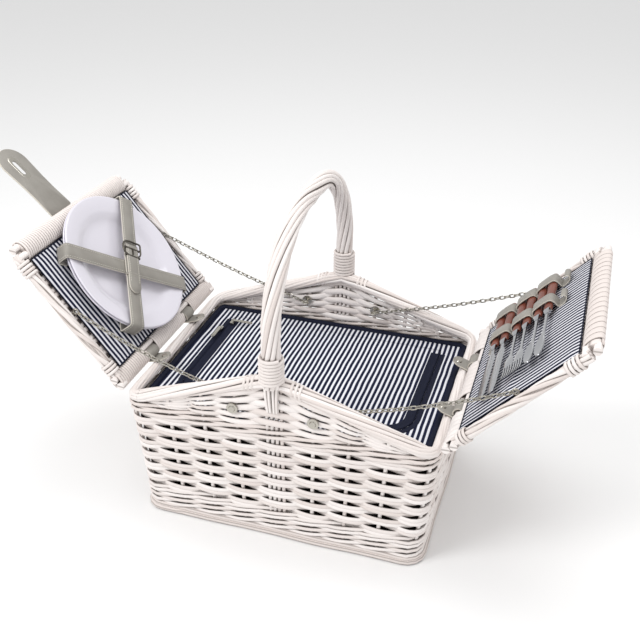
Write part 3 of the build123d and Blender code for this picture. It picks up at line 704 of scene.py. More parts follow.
def stake_lines():
    """Upright stakes between base and rim; a cluster of four stands below each handle leg."""
    lines = []
    lowest, highest = Outline(4 * MM, WALL_MIDDLE), Outline(PEAK, WALL_MIDDLE)
    for s0, s1 in zip(lowest.marks, highest.marks):
        (low, out), high = lowest.at(s0), highest.at(s1)[0]
        share = (roof(high.x) - 14 * MM - low.z) / (high.z - low.z)
        top = low.lerp(high, share)
        middle = abs(low.x) < 1 * MM
        for shift in (-9, -3, 3, 9) if middle else (0,):
            step = Vector((shift * MM, 0, 0))
            points = [(low + step).lerp(top + step, i / 12) for i in range(13)]
            lines.append({"points": points, "side": [out] * len(points), "tone": tone()})
    return lines


def frames(points, closed=False):
    """A direction of travel at each point of a line."""
    count = len(points)
    found = []
    for i in range(count):
        before = points[(i - 1) % count] if closed or i else points[0]
        after = points[(i + 1) % count] if closed or i < count - 1 else points[-1]
        found.append((after - before).normalized())
    return found


def bundle(points, sides, ups, radii, number, turns, closed=False, skip=(), ragged=0.0):
    """Parallel rods laid round a path: radii give the bundle's half width and half height."""
    lines = []
    lengths = np.concatenate([[0], np.cumsum([(b - a).length for a, b in zip(points, points[1:])])])
    total = lengths[-1]
    for k in range(number):
        if k in skip:
            continue
        wobble = RNG.uniform(-ragged, ragged, 3)
        line, radial = [], []
        for i, (point, side, up) in enumerate(zip(points, sides, ups)):
            share = lengths[i] / total
            angle = 2 * math.pi * (k / number + turns * share)
            angle += wobble[0] * math.sin(9 * share + 6 * wobble[1])
            a, b = radii(point) if callable(radii) else radii
            line.append(point + side * (a * math.cos(angle)) + up * (b * math.sin(angle)))
            radial.append(side * math.cos(angle) + up * math.sin(angle))
        lines.append({"points": line, "closed": closed, "side": radial, "tone": tone()})
    return lines


def rim_path(step=9 * MM):
    """The middle of the rim border, right round the basket, with outward and upright directions."""
    points, sides, ups = [], [], []
    reference = Outline(176 * MM, 9 * MM)
    number = round(reference.total / step)
    for i in range(number):
        flat, normal = reference.at(reference.total * i / number)
        crest = 14 * MM * math.exp(-(flat.x / (16 * MM)) ** 2) * ROOF_SLOPE
        z = roof(flat.x) - RIM_THICK / 2 - crest / 2
        grow = half_sizes(z)[1] - half_sizes(176 * MM)[1]
        points.append(Vector((flat.x, flat.y + math.copysign(grow, flat.y), z)))
        sides.append(normal)
        ups.append(Vector((0, 0, 1)))
    return points, sides, ups


def rim_radii(point):
    """The rim border is wider along the long sides than across the ends."""
    end = max(0.0, min(1.0, (abs(point.x) - 170 * MM) / (20 * MM)))
    return (7.9 - 3.9 * end) * MM, (5.6 - 0.8 * end) * MM


def handle_path(step=6 * MM):
    """The middle of the arched handle, from the front leg over to the back one."""
    spread = BINDINGS[1].y - HANDLE_ROD_INSET
    low, top, bend = BINDINGS[0].z - 8 * MM, ARCH[1].z - 12 * MM, 122 * MM
    corner = Vector((0, -spread + bend, top - bend))
    points = [Vector((0, -spread, low + (top - bend - low) * i / 14)) for i in range(14)]
    count = round(math.pi / 2 * bend / step)
    for i in range(count + 1):
        angle = math.pi / 2 * i / count
        points.append(corner + Vector((0, -math.cos(angle), math.sin(angle))) * bend)
    points.append(Vector((0, -spread + bend + (spread - bend) * 0.5, top)))
    mirrored = [Vector((p.x, -p.y, p.z)) for p in reversed(points)]
    return points + [Vector((0, 0, top))] + mirrored


def coil(centre, axis, start, radii, pitch, length, phase=0.0, per_turn=14):
    """A rod wound in an oval round an axis."""
    turns = length / pitch
    number = max(4, round(turns * per_turn))
    third = axis.cross(start)
    points, sides = [], []
    for i in range(number + 1):
        angle = phase + 2 * math.pi * turns * i / number
        side = start * (radii[0] * math.cos(angle)) + third * (radii[1] * math.sin(angle))
        points.append(centre + axis * (length * i / number) + side)
        sides.append(start * (radii[1] * math.cos(angle)) + third * (radii[0] * math.sin(angle)))
    return {"points": points, "side": sides, "tone": tone()}


def ring_line(centre, side, up, radii, number=14):
    """A closed oval of one rod."""
    points, sides = [], []
    for i in range(number):
        angle = 2 * math.pi * i / number
        points.append(centre + side * (radii[0] * math.cos(angle)) + up * (radii[1] * math.sin(angle)))
        sides.append(side * (radii[1] * math.cos(angle)) + up * (radii[0] * math.sin(angle)))
    return {"points": points, "closed": True, "side": sides, "tone": tone()}


# Willow work: pieces

def build_walls(settings):
    lines = []
    for row in range(WEAVE_ROWS):
        z = WEAVE_LOW + ROW_PITCH * row
        lines += [randed_row(z, row, offset) for offset in (-1, 1)]
    weave = rods("wall_weave", lines, material("willow"), ROD_THICK, ROD_WIDE, settings.weave_depth,
                 settings.unevenness)
    gables = rods("gable_weave", gable_rows(), material("willow"), 3.4 * MM, 6.2 * MM, 3.4 * MM, 0.3 * MM)
    stakes = rods("wall_stakes", stake_lines(), material("willow"), 4.6 * MM, 5.0 * MM, uneven=0.2 * MM)
    bands = rods("wall_bands", [waled_row(z * MM) for z in UPPER_BAND_HEIGHTS], material("willow"),
                 3.8 * MM, 4.6 * MM, 3.9 * MM, 0.3 * MM, sides=8)
    piece = join("woven_walls_willow", [weave, gables, stakes, bands])
    settle(piece, "basket", "whitewashed_willow", "woven_walls")


def build_foot():
    rows = [waled_row(z * MM) for z in FOOT_BAND_HEIGHTS]
    bands = rods("foot_wale", rows, material("willow"), 3.8 * MM, 4.8 * MM, 4.0 * MM, 0.4 * MM, sides=8)
    edge = []
    for inset, z in FOOT_EDGE_RODS:
        places = Outline(z * MM, inset * MM).samples(9 * MM)
        points = [p + n * (0.7 * MM * math.sin(1.9 * c)) for p, n, c in places]
        edge.append({"points": points, "closed": True, "tone": tone()})
    border = rods("foot_rods", edge, material("willow"), 7.0 * MM, 7.0 * MM, uneven=0.3 * MM)
    floor = []
    half_x, half_y = [half - BASE_EDGE for half in half_sizes(BASE_MIDDLE)]
    for row in range(BASE_ROWS):
        y = -half_y + 2 * half_y * (row + 0.5) / BASE_ROWS
        xs = np.linspace(-half_x, half_x, 45)
        wave = [math.cos(math.pi * x / BASE_STAKE_PITCH) * (-1) ** row for x in xs]
        floor.append({"points": [(x, y, BASE_MIDDLE) for x in xs], "wave": wave,
                      "out": [OFF_AXIS] * len(xs), "tone": tone()})
    for i in range(9):
        x = (i - 4) * BASE_STAKE_PITCH * 0.85
        ys = np.linspace(-half_y, half_y, 12)
        floor.append({"points": [(x, y, BASE_MIDDLE) for y in ys], "tone": tone()})
    base = rods("base_weave", floor, material("willow"), 3.4 * MM, 8.2 * MM, 2.2 * MM, 0.2 * MM, sides=6)
    piece = join("foot_willow", [bands, border, base])
    settle(piece, "basket", "whitewashed_willow", "foot_border", "woven_base")


def build_rim(settings):
    points, sides, ups = rim_path()
    lines = bundle(points, sides, ups, rim_radii, 10, 3.0, closed=False, ragged=0.22)
    for line in lines:
        line["points"].append(line["points"][0])
        line["side"].append(line["side"][0])
    core = {"points": points, "closed": True, "girth": [2.1] * len(points), "tone": tone()}
    border = rods("rim_rods", lines + [core], material("willow"), 4.6 * MM, 4.9 * MM,
                  uneven=settings.unevenness)
    wraps = []
    for front in (FRONT, BACK):
        for x in LEG_LASHINGS:
            z = roof(x * MM) - RIM_THICK / 2
            y = front * (half_sizes(z)[1] - 8.6 * MM)
            wraps.append(ring_line(Vector((x * MM, y, z)), Vector((0, 1, 0)), Vector((0, 0, 1)),
                                   (9.0 * MM, 7.6 * MM)))
    lashing = rods("rim_lashing", wraps, material("willow"), 3.0 * MM, 3.6 * MM, uneven=0.2 * MM)
    piece = join("rim_willow", [border, lashing])
    settle(piece, "basket", "whitewashed_willow", "rim_border")


def build_handle(settings):
    points = handle_path()
    travel = frames(points)
    sides = [Vector((1, 0, 0))] * len(points)
    ups = [t.cross(Vector((1, 0, 0))) for t in travel]
    strands = bundle(points, sides, ups, (8.6 * MM, 8.6 * MM), 10, settings.handle_turns, ragged=0.15)
    core = {"points": points, "girth": [2.3] * len(points), "tone": tone()}
    arch = rods("handle_strands", strands + [core], material("willow"), 5.6 * MM, 6.0 * MM, uneven=0.35 * MM)
    settle(arch, "basket", "whitewashed_willow", "handle_arch")
    arch.name = "handle_willow"
    spread = -points[0].y
    lines = []
    for front in (FRONT, BACK):
        foot = Vector((0, front * spread, PEAK - 8 * MM))
        lines.append(coil(foot, Vector((0, 0, 1)), Vector((1, 0, 0)), (13.2 * MM, 13.2 * MM), 4.3 * MM,
                          34 * MM))
        for shift in (-8, -3, 3, 8):
            top = foot + Vector((shift * MM, front * 2 * MM, 6 * MM))
            low = foot + Vector((shift * 0.7 * MM, front * 3.2 * MM, -42 * MM))
            low.y = front * (half_sizes(low.z)[1] - 1.5 * MM)
            over = [top.lerp(low, i / 6) for i in range(7)]
            for i, point in enumerate(over):
                point.y += front * 2.0 * MM * math.sin(math.pi * i / 6)
            lines.append({"points": over, "tone": tone()})
    ties = rods("handle_ties", lines, material("willow"), 4.2 * MM, 4.6 * MM, uneven=0.25 * MM)
    settle(ties, "basket", "whitewashed_willow", "handle_bindings")
    ties.name = "handle_binding_willow"


# Shapes

def loft(name, rings, materials, pick=None, matrix=None, caps=True, loop=False, uv=None, smooth=True):
    """A skin through rings of equal count. pick(ring, place) gives a face's material number."""
    count = len(rings[0])
    vertices = [Vector(p) for ring in rings for p in ring]
    faces, numbers = [], []
    for i in range(len(rings) if loop else len(rings) - 1):
        a, b = i * count, (i + 1) % len(rings) * count
        for j in range(count):
            k = (j + 1) % count
            faces.append((a + j, a + k, b + k, b + j))
            numbers.append(pick(i, j) if pick else 0)
    if caps and not loop:
        faces.append(tuple(reversed(range(count))))
        faces.append(tuple(range(len(vertices) - count, len(vertices))))
        numbers += [pick(0, 0) if pick else 0, pick(len(rings) - 2, 0) if pick else 0]
    mesh = bpy.data.meshes.new(name)
    mesh.from_pydata(vertices, [], faces)
    for each in materials:
        mesh.materials.append(each)
    mesh.polygons.foreach_set("material_index", numbers)
    if uv:
        layer = mesh.uv_layers.new(name="cloth")
        for corner in mesh.loops:
            layer.data[corner.index].uv = uv(mesh.vertices[corner.vertex_index].co)
    if matrix is not None:
        mesh.transform(matrix)
    made = bpy.data.objects.new(name, mesh)
    bpy.context.scene.collection.objects.link(made)
    tidy_mesh(made, smooth)
    return made


def lathe(name, profile, materials, matrix, segments=48, scale=(1, 1), pick=None):
    """A skin round local z through (radius, height) points; both ends lie on the axis."""
    rings = []
    for radius, height in profile:
        radius = max(radius, 0.02 * MM)
        rings.append([(radius * scale[0] * math.cos(2 * math.pi * i / segments),
                       radius * scale[1] * math.sin(2 * math.pi * i / segments), height)
                      for i in range(segments)])
    return loft(name, rings, materials, pick, matrix)


def ribbon(name, path, side, widths, thickness, materials, matrix=None, uv=None):
    """A strap of leather or tape along a path; the second material is for its cut edges."""
    if not hasattr(widths, "__len__"):
        widths = [widths] * len(path)
    half = thickness / 2
    edge = 0.3 * half
    rings = []
    for point, travel, width in zip(path, frames(path), widths):
        across = (side - travel * side.dot(travel)).normalized()
        up = travel.cross(across)
        w = width / 2
        section = ((w - edge, half), (-w + edge, half), (-w, half - edge), (-w, edge - half),
                   (-w + edge, -half), (w - edge, -half), (w, edge - half), (w, half - edge))
        rings.append([point + across * a + up * b for a, b in section])
    number = len(materials) - 1
    return loft(name, rings, materials, lambda i, j: 0 if j in (0, 4) else number, matrix, uv=uv)


def smoothed(points, times=2):
    """Rounds a line's corners by cutting them, keeping its two ends."""
    points = [Vector(p) for p in points]
    for _ in range(times):
        cut = [points[0]]
        for a, b in zip(points, points[1:]):
            cut += [a.lerp(b, 0.25), a.lerp(b, 0.75)]
        points = cut + [points[-1]]
    return points


def resampled(points, step):
    """Even places along a line."""
    lengths = np.concatenate([[0], np.cumsum([(b - a).length for a, b in zip(points, points[1:])])])
    count = max(2, round(lengths[-1] / step))
    places = np.linspace(0, lengths[-1], count + 1)
    columns = [np.interp(places, lengths, [p[axis] for p in points]) for axis in range(3)]
    return [Vector(p) for p in zip(*columns)]


def placed(made, matrix):
    made.data.transform(matrix)
    if matrix.determinant() < 0:
        made.data.flip_normals()
    return made


def stitch_shape():
    """One thread stitch, a small lens lying along X."""
    rings = []
    for x, size in ((-1.1, 0.25), (-0.7, 0.8), (0.0, 1.0), (0.7, 0.8), (1.1, 0.25)):
        rings.append([(x * MM, 0.38 * MM * size * math.cos(a * math.pi / 3),
                       0.38 * MM * size * math.sin(a * math.pi / 3)) for a in range(6)])
    return loft("stitch", rings, [material("thread")])


def stitches(name, lines, matrix=None, step=3.4 * MM):
    made = copies(name, [{"points": line} for line in lines], stitch_shape(), material("thread"), step)
    return placed(made, matrix) if matrix is not None else made


def edge_lines(path, side, up, width, inset, lift):
    """Two stitch lines, just inside both edges of a strap."""
    lines = []
    for sign in (-1, 1):
        line = []
        for point, travel in zip(path, frames(path)):
            across = (side - travel * side.dot(travel)).normalized()
            line.append(point + across * (sign * (width / 2 - inset)) + travel.cross(across) * lift * up)
        lines.append(line)
    return lines


# Lids, in each lid's own directions: out from the hinge, along Y, inwards

LID_MIDDLE_GAP = 3.1 * MM
LID_LENGTH = HINGE_X / math.cos(CLOSED_SLOPE) - LID_MIDDLE_GAP
RAIL_Y = 130 * MM
RAIL_RUN = (10, 199)  # from the hinge, millimetres
RAIL_LASHINGS = (19, 24, 29, 171, 176, 181, 186)  # from the hinge, millimetres
ROLL_HALF = 119.5 * MM
HINGE_BANDS = ((-137, -66.5), (-41.5, 41.5), (66.5, 137))  # beside the leather tabs, millimetres
HINGE_BAND_MIDDLE = 5.6 * MM
PANEL_MIDDLE = -2.2 * MM
PANEL_ROWS = 19
PANEL_END = LID_LENGTH - 27 * MM
ROLL_U = LID_LENGTH - 13.5 * MM
LINING_U = (18 * MM, PANEL_END - 1 * MM)
LINING_Y = 118 * MM
LINING_TOP = 5 * MM
HEM = 10 * MM  # where the lining dips to its edge
TAB_Y = 54 * MM
TAB_WIDE = 22 * MM
TAB_REACH = 16 * MM  # from the hinge line to the middle of the tab's round end
TAB_LOOP = 6.9 * MM
HINGE_TO_RIM = 8.87 * MM
U_AXIS, Y_AXIS, OFF_AXIS = Vector((1, 0, 0)), Vector((0, 1, 0)), Vector((0, 0, 1))


def side_word(side):
    return "left" if side == LEFT else "right"


def build_lid_frame(side):
    """The lid's rails, edge roll and hinge band of wound willow."""
    matrix, word = lid_matrix(side), side_word(side)
    willow = material("willow")
    rail_lines = []
    wraps = []
    for front in (FRONT, BACK):
        us = np.linspace(*RAIL_RUN, 40) * MM
        points = [Vector((u, front * RAIL_Y, 0)) for u in us]
        number = len(points)
        rail_lines += bundle(points, [Y_AXIS] * number, [OFF_AXIS] * number, (4.7 * MM, 4.3 * MM), 6, 1.1,
                             ragged=0.7)
        rail_lines.append({"points": points, "girth": [1.6] * number, "tone": tone()})
        for u in RAIL_LASHINGS:
            wraps.append(ring_line(Vector((u * MM, front * RAIL_Y, 0)), Y_AXIS, OFF_AXIS,
                                   (7.9 * MM, 7.6 * MM)))
    rails = rods("rails", rail_lines, willow, 4.8 * MM, 5.2 * MM, uneven=0.5 * MM)
    lashing = rods("lashing", wraps, willow, 3.0 * MM, 4.0 * MM, uneven=0.3 * MM)
    ends = []
    for front in (FRONT, BACK):
        for u, off, low, high in ((ROLL_U - 6 * MM, 2.5, 116, 133), (ROLL_U + 6 * MM, -0.5, 116, 129)):
            ends.append({"points": [(u, front * y * MM, off * MM) for y in (low, (low + high) / 2, high)],
                         "tone": 0.2})
        for u, off in ((-1, 1.5), (9, -1.0)):
            ends.append({"points": [(u * MM, front * y * MM, off * MM) for y in (128, 133, 138)],
                         "tone": 0.2})
    knobs = rods("knobs", ends, willow, 9.6 * MM, 9.6 * MM, uneven=0.2 * MM, sides=12)
    frame_piece = placed(join(f"lid_{word}_rail_willow", [rails, lashing, knobs]), matrix)
    settle(frame_piece, lid_body(side), "whitewashed_willow", f"lid_{word}_rails")

    length = 2 * ROLL_HALF
    centre = Vector((ROLL_U, -length / 2, 0))
    if side == LEFT:
        wound = [coil(centre, Y_AXIS, U_AXIS, (12.0 * MM, 7.6 * MM), 4.2 * MM, length, per_turn=20)]
        roll = rods("roll", wound, willow, 3.4 * MM, 3.6 * MM, uneven=0.15 * MM, sides=8)
    else:
        wound = [coil(centre + Y_AXIS * (5 * MM), Y_AXIS, U_AXIS, (12.2 * MM, 6.7 * MM), 11.6 * MM,
                      length - 10 * MM, per_turn=24)]
        roll = rods("roll", wound, willow, 2.2 * MM, 11.4 * MM, uneven=0.2 * MM, sides=10)
    core = {"points": [centre + Y_AXIS * (length * i / 10) for i in range(11)], "tone": 0.6,
            "side": [U_AXIS] * 11}
    inside = rods("roll_core", [core], willow, 21 * MM, 12 * MM, uneven=0.0, sides=24)
    settle(placed(join(f"lid_{word}_roll_willow", [roll, inside]), matrix), lid_body(side),
           "whitewashed_willow", f"lid_{word}_edge_roll")

    band = []
    for low, high in HINGE_BANDS:
        start = Vector((HINGE_BAND_MIDDLE, low * MM, 0))
        radii = (10.6 * MM, 5.4 * MM)
        if side == LEFT:
            band.append(coil(start, Y_AXIS, U_AXIS, radii, 4.2 * MM, (high - low) * MM, per_turn=18))
        else:
            band.append(coil(start + Y_AXIS * (4 * MM), Y_AXIS, U_AXIS, radii, 9.5 * MM,
                             (high - low - 8) * MM, per_turn=20))
    wide = 3.6 if side == LEFT else 10.2
    hinge_band = rods("band", band, willow, 3.0 * MM, wide * MM, uneven=0.15 * MM, sides=8)
    bar = [{"points": [(0, y * MM, 0) for y in range(-138, 139, 12)], "tone": 0.5},
           {"points": [(11 * MM, y * MM, 0) for y in range(-136, 137, 16)], "tone": 0.3}]
    rod = rods("bar", bar, willow, 8.0 * MM, 8.0 * MM, uneven=0.1 * MM, sides=12)
    settle(placed(join(f"lid_{word}_hinge_willow", [hinge_band, rod]), matrix), lid_body(side),
           "whitewashed_willow", f"lid_{word}_hinge_bar")


def build_lid_panel(side):
    """The woven panel between a lid's rails."""
    matrix, word = lid_matrix(side), side_word(side)
    lines = []
    first, pitch = 19 * MM, (PANEL_END - 22 * MM) / (PANEL_ROWS - 1)
    for row in range(PANEL_ROWS):
        for offset in (-1, 1):
            points, wave, girth = [], [], []
            for y in np.linspace(-125, 125, 47) * MM:
                w = math.cos(math.pi * y / (40 * MM)) * (-1) ** row
                u = first + pitch * row + offset * (2.3 + 0.8 * abs(w)) * MM
                points.append(Vector((u, y, PANEL_MIDDLE)))
                wave.append(w)
                girth.append(0.82 + 0.18 * abs(w))
            lines.append({"points": points, "wave": wave, "out": [OFF_AXIS] * len(points), "girth": girth,
                          "side": [OFF_AXIS] * len(points), "tone": tone()})
    weave = rods("panel", lines, material("willow"), 3.2 * MM, 6.3 * MM, 2.2 * MM, 0.25 * MM)
    stakes = []
    for y in (-120, -80, -40, 0, 40, 80, 120):
        points = [(u * MM, y * MM, PANEL_MIDDLE) for u in range(8, 190, 18)]
        stakes.append({"points": points, "tone": tone()})
    ribs = rods("ribs", stakes, material("willow"), 3.6 * MM, 4.4 * MM, uneven=0.15 * MM)
    settle(placed(join(f"lid_{word}_panel_willow", [weave, ribs]), matrix), lid_body(side),
           "whitewashed_willow", f"lid_{word}_woven_panel")


def build_lining(side):
    """The striped cotton lining stretched over a lid's inside, with its navy edge."""
    matrix, word = lid_matrix(side), side_word(side)
    columns, rows = 36, 48
    ring_sets = []
    low, high = LINING_U
    crease = (0.55 if side == RIGHT else 0.4) * (high - low) + low

    def top(u, y):
        edge = min(HEM, LINING_Y - abs(y), u - low, high - u) / HEM
        wave = 0.45 * math.sin(u / (19 * MM) + y / (47 * MM))
        wave += 0.35 * math.sin(y / (16 * MM) - u / (60 * MM))
        fold = 0.9 * math.exp(-((u - crease - 0.25 * y) / (7 * MM)) ** 2) if side == RIGHT else 0.0
        return LINING_TOP - 1.0 * MM + (0.9 + 0.5 * wave + fold) * MM * max(0.0, edge)

    for i in range(rows + 1):
        y = -LINING_Y + 2 * LINING_Y * i / rows
        upper = [low + (high - low) * j / columns for j in range(columns + 1)]
        ring = [(u, y, top(u, y)) for u in upper] + [(u, y, 2.6 * MM) for u in reversed(upper)]
        ring_sets.append(ring)
    cloth = loft(f"lid_{word}_lining_cloth", ring_sets, [material("stripes")], uv=lambda p: (p.x, p.y))
    placed(cloth, matrix)
    settle(cloth, lid_body(side), "striped_cotton", f"lid_{word}_lining")
    corners = [(low, -LINING_Y), (high, -LINING_Y), (high, LINING_Y), (low, LINING_Y)]
    line = []
    for (u0, y0), (u1, y1) in zip(corners, corners[1:] + corners[:1]):
        for i in range(24):
            line.append(Vector((u0 + (u1 - u0) * i / 24, y0 + (y1 - y0) * i / 24, LINING_TOP - 0.9 * MM)))
    hem = rods(f"lid_{word}_lining_edge", [{"points": line, "closed": True}], material("navy"), 1.6 * MM,
               2.0 * MM, uneven=0.05 * MM)
    placed(hem, matrix)
    settle(hem, lid_body(side), "navy_binding")


def roof_frame(side, y):
    """On the rim below a hinge: x towards the middle of the basket, z square to the roof line."""
    inwards = Vector((-side * math.cos(CLOSED_SLOPE), 0, math.sin(CLOSED_SLOPE)))
    up = Vector((side * math.sin(CLOSED_SLOPE), 0, math.cos(CLOSED_SLOPE)))
    matrix = Matrix((inwards, (0, 1, 0), up)).transposed().to_4x4()
    matrix.translation = Vector((side * HINGE_X, y, HINGE_Z))
    return matrix


def build_hinge_tabs(side):
    """Leather tabs round the hinge rod, riveted to the rim."""
    word = side_word(side)
    pieces = []
    low = 1 * MM - HINGE_TO_RIM
    for y in (-TAB_Y, TAB_Y):
        matrix = roof_frame(side, y)
        path, widths = [], []
        for i in range(9):
            angle = math.pi / 2 * (1 - i / 8)
            path.append(Vector((TAB_REACH + TAB_WIDE / 2 * math.sin(angle), 0, low)))
            widths.append(TAB_WIDE * math.cos(angle) if i else 3 * MM)
        path.append(Vector((6 * MM, 0, low)))
        widths.append(TAB_WIDE)
        for i in range(23):
            angle = -math.pi / 2 - 0.1 - 5.3 * i / 22
            path.append(Vector((TAB_LOOP * math.cos(angle), 0, TAB_LOOP * math.sin(angle))))
            widths.append(TAB_WIDE)
        pieces.append(ribbon(f"tab_{word}", path, Y_AXIS, widths, 1.8 * MM,
                             [material("leather"), material("cut edge")], matrix))
    settle(join(f"{word}_hinge_tab_leather", pieces), "basket", "grey_leather", f"{word}_hinge_tabs")


# Bag

BAG_TOP = BAG[1].z
BAG_INSET = 15 * MM
FLAP_X = FLAP[1].x
FLAP_FRONT = FLAP[0].y
FLAP_BACK = FLAP[1].y
FLAP_CORNER = 34 * MM


def bag_ring(z, inset, number):
    """The bag's outline at a height, as evenly turned points about the middle."""
    base = Outline(z, BAG_INSET + inset)
    return [base.at(base.total * i / number)[0] for i in range(number)]


def flap_line(grow, step=7 * MM):
    """The flap's three free sides, grown outwards, with the outward direction at each point."""
    radius = FLAP_CORNER + grow
    x, front, back = FLAP_X + grow, FLAP_FRONT - grow, FLAP_BACK - 12 * MM
    found = []
    straight = round((back - front - radius) / step)
    for i in range(straight):
        found.append((Vector((-x, back - (back - front - radius) * i / straight, 0)), Vector((-1, 0, 0))))
    for i in range(9):
        a = math.pi / 2 * i / 8
        out = Vector((-math.cos(a), -math.sin(a), 0))
        found.append((Vector((-x + radius, front + radius, 0)) + out * radius, out))
    across = round(2 * (x - radius) / step)
    for i in range(1, across):
        found.append((Vector((-x + radius + 2 * (x - radius) * i / across, front, 0)), Vector((0, -1, 0))))
    half = [(Vector((-p.x, p.y, 0)), Vector((-n.x, n.y, 0))) for p, n in reversed(found[:straight + 9])]
    return found + half


FLAP_RAYS = 180  # points round the flap and the bag


def flap_ring(grow, number):
    """The flap's whole outline, as points on rays from its middle."""
    line = [p for p, _ in flap_line(grow)]
    x, back = FLAP_X + grow, FLAP_BACK + grow
    line += [Vector((x, back, 0))] + [Vector((x - 2 * x * i / 30, back, 0)) for i in range(1, 30)]
    line += [Vector((-x, back, 0))]
    middle = Vector((0, (FLAP_BACK + FLAP_FRONT) / 2, 0))
    points = resampled(line + [line[0]], 2 * MM)
    angles = np.array([math.atan2(p.y - middle.y, p.x - middle.x) for p in points])
    order = np.argsort(angles)
    wanted = np.linspace(-math.pi, math.pi, number, endpoint=False)
    sorted_angles = angles[order]
    xs = np.interp(wanted, sorted_angles, np.array([p.x for p in points])[order], period=2 * math.pi)
    ys = np.interp(wanted, sorted_angles, np.array([p.y for p in points])[order], period=2 * math.pi)
    return [Vector((a, b, 0)) for a, b in zip(xs, ys)]


def ray_ring(z, inset, number):
    """The bag's outline on the same rays as the flap's."""
    points = bag_ring(z, inset, 720)
    middle = (FLAP_BACK + FLAP_FRONT) / 2
    angles = np.array([math.atan2(p.y - middle, p.x) for p in points])
    order = np.argsort(angles)
    wanted = np.linspace(-math.pi, math.pi, number, endpoint=False)
    xs = np.interp(wanted, angles[order], np.array([p.x for p in points])[order], period=2 * math.pi)
    ys = np.interp(wanted, angles[order], np.array([p.y for p in points])[order], period=2 * math.pi)
    return [Vector((a, b, z)) for a, b in zip(xs, ys)]


def at_height(ring, z):
    """The same outline at a height."""
    return [Vector((p.x, p.y, z)) for p in ring]


def build_bag():
    """The insulated bag: striped on its top, foil inside, with piping round its top edge; its sides behind
    the wicker are a near-black brown, painted shade seen through the weave.
    """
    number, top = FLAP_RAYS, BAG_TOP
    opening = flap_ring(0.8 * MM, number)
    rings = [ray_ring(13 * MM, 8 * MM, number), ray_ring(14 * MM, 1.5 * MM, number)]
    rings += [ray_ring(z * MM, inset * MM, number) for z, inset in
              ((22, 0.4), (60, 0.9), (100, 0.9), (140, 0.5), (156, 0.3))]
    rings += [ray_ring(top - 1.2 * MM, 0.6 * MM, number), ray_ring(top - 0.2 * MM, 2.5 * MM, number)]
    border = ray_ring(top, 2.5 * MM, number)
    for share in (0.2, 0.4, 0.6, 0.8):
        ring = []
        for a, b in zip(border, opening):
            point = a.lerp(Vector((b.x, b.y, top)), share)
            swell = 0.9 * math.sin(math.pi * share)
            swell += 0.5 * math.sin(point.x / (31 * MM) + point.y / (23 * MM))
            ring.append(Vector((point.x, point.y, top + swell * 0.55 * MM)))
        rings.append(ring)
    outside = len(rings)
    rings += [at_height(opening, top - 0.3 * MM), at_height(opening, top - 4.5 * MM)]
    rings += [ray_ring(z * MM, 8 * MM, number) for z in (153, 90, 24)]
    rings += [ray_ring(21 * MM, 14 * MM, number)]
    # The lower rings take the bag sides' near-black brown: painted shade that shows through the wicker's
    # slots.
    body = loft("bag_cloth", rings, [material("bag stripes"), material("foil"), material("bag sides")],
                lambda i, j: 2 if i < 6 else 0 if i < outside + 1 else 1,
                uv=lambda p: (p.x + (top - p.z) * 0.4, p.y))
    settle(body, "basket", "striped_cotton_bag", "bag_body")
    path = [p + Vector((0, 0, 0.2 * MM)) for p in bag_ring(top, 3.0 * MM, 160)]
    cord = rods("bag_piping_cord", [{"points": path, "closed": True}], material("navy"), 8.0 * MM, 8.0 * MM,
                uneven=0.15 * MM)
    band_rings = []
    outer, inner = bag_ring(top, 3 * MM, 160), bag_ring(top, 5.5 * MM, 160)
    for ring, z in ((outer, 0.1), (outer, 1.0), (inner, 0.9), (inner, 0.1)):
        band_rings.append([Vector((p.x, p.y, top + z * MM)) for p in ring])
    band = loft("bag_band", band_rings, [material("navy")], loop=True)
    settle(join("bag_piping_cloth", [cord, band]), "basket", "navy_binding", "bag_piping")


TAPE_SECTION = ((-0.5, 0), (-0.5, 0.7), (-0.42, 1.0), (-0.2, 0.85), (0.2, 0.85), (0.42, 1.0), (0.5, 0.7),
                (0.5, 0))  # in widths and heights


def tape(name, near, far, height, lift):
    """A raised navy tape along the flap's three free sides, between two distances from its edge."""
    line = flap_line((near + far) / 2)
    wide = far - near
    rings = []
    for point, out in line:
        centre = Vector((point.x, point.y, BAG_TOP + lift))
        rings.append([centre + out * (wide * a) + Vector((0, 0, height * b)) for a, b in TAPE_SECTION])
    return loft(name, rings, [material("navy")])


def teeth_shape():
    """One tooth of a coil zip."""
    rings = []
    for x in (-0.5, 0.5):
        rings.append([(x * MM, 1.5 * MM * math.cos(a * math.pi / 3), 0.7 * MM * math.sin(a * math.pi / 3))
                      for a in range(6)])
    return loft("tooth", rings, [material("navy")])


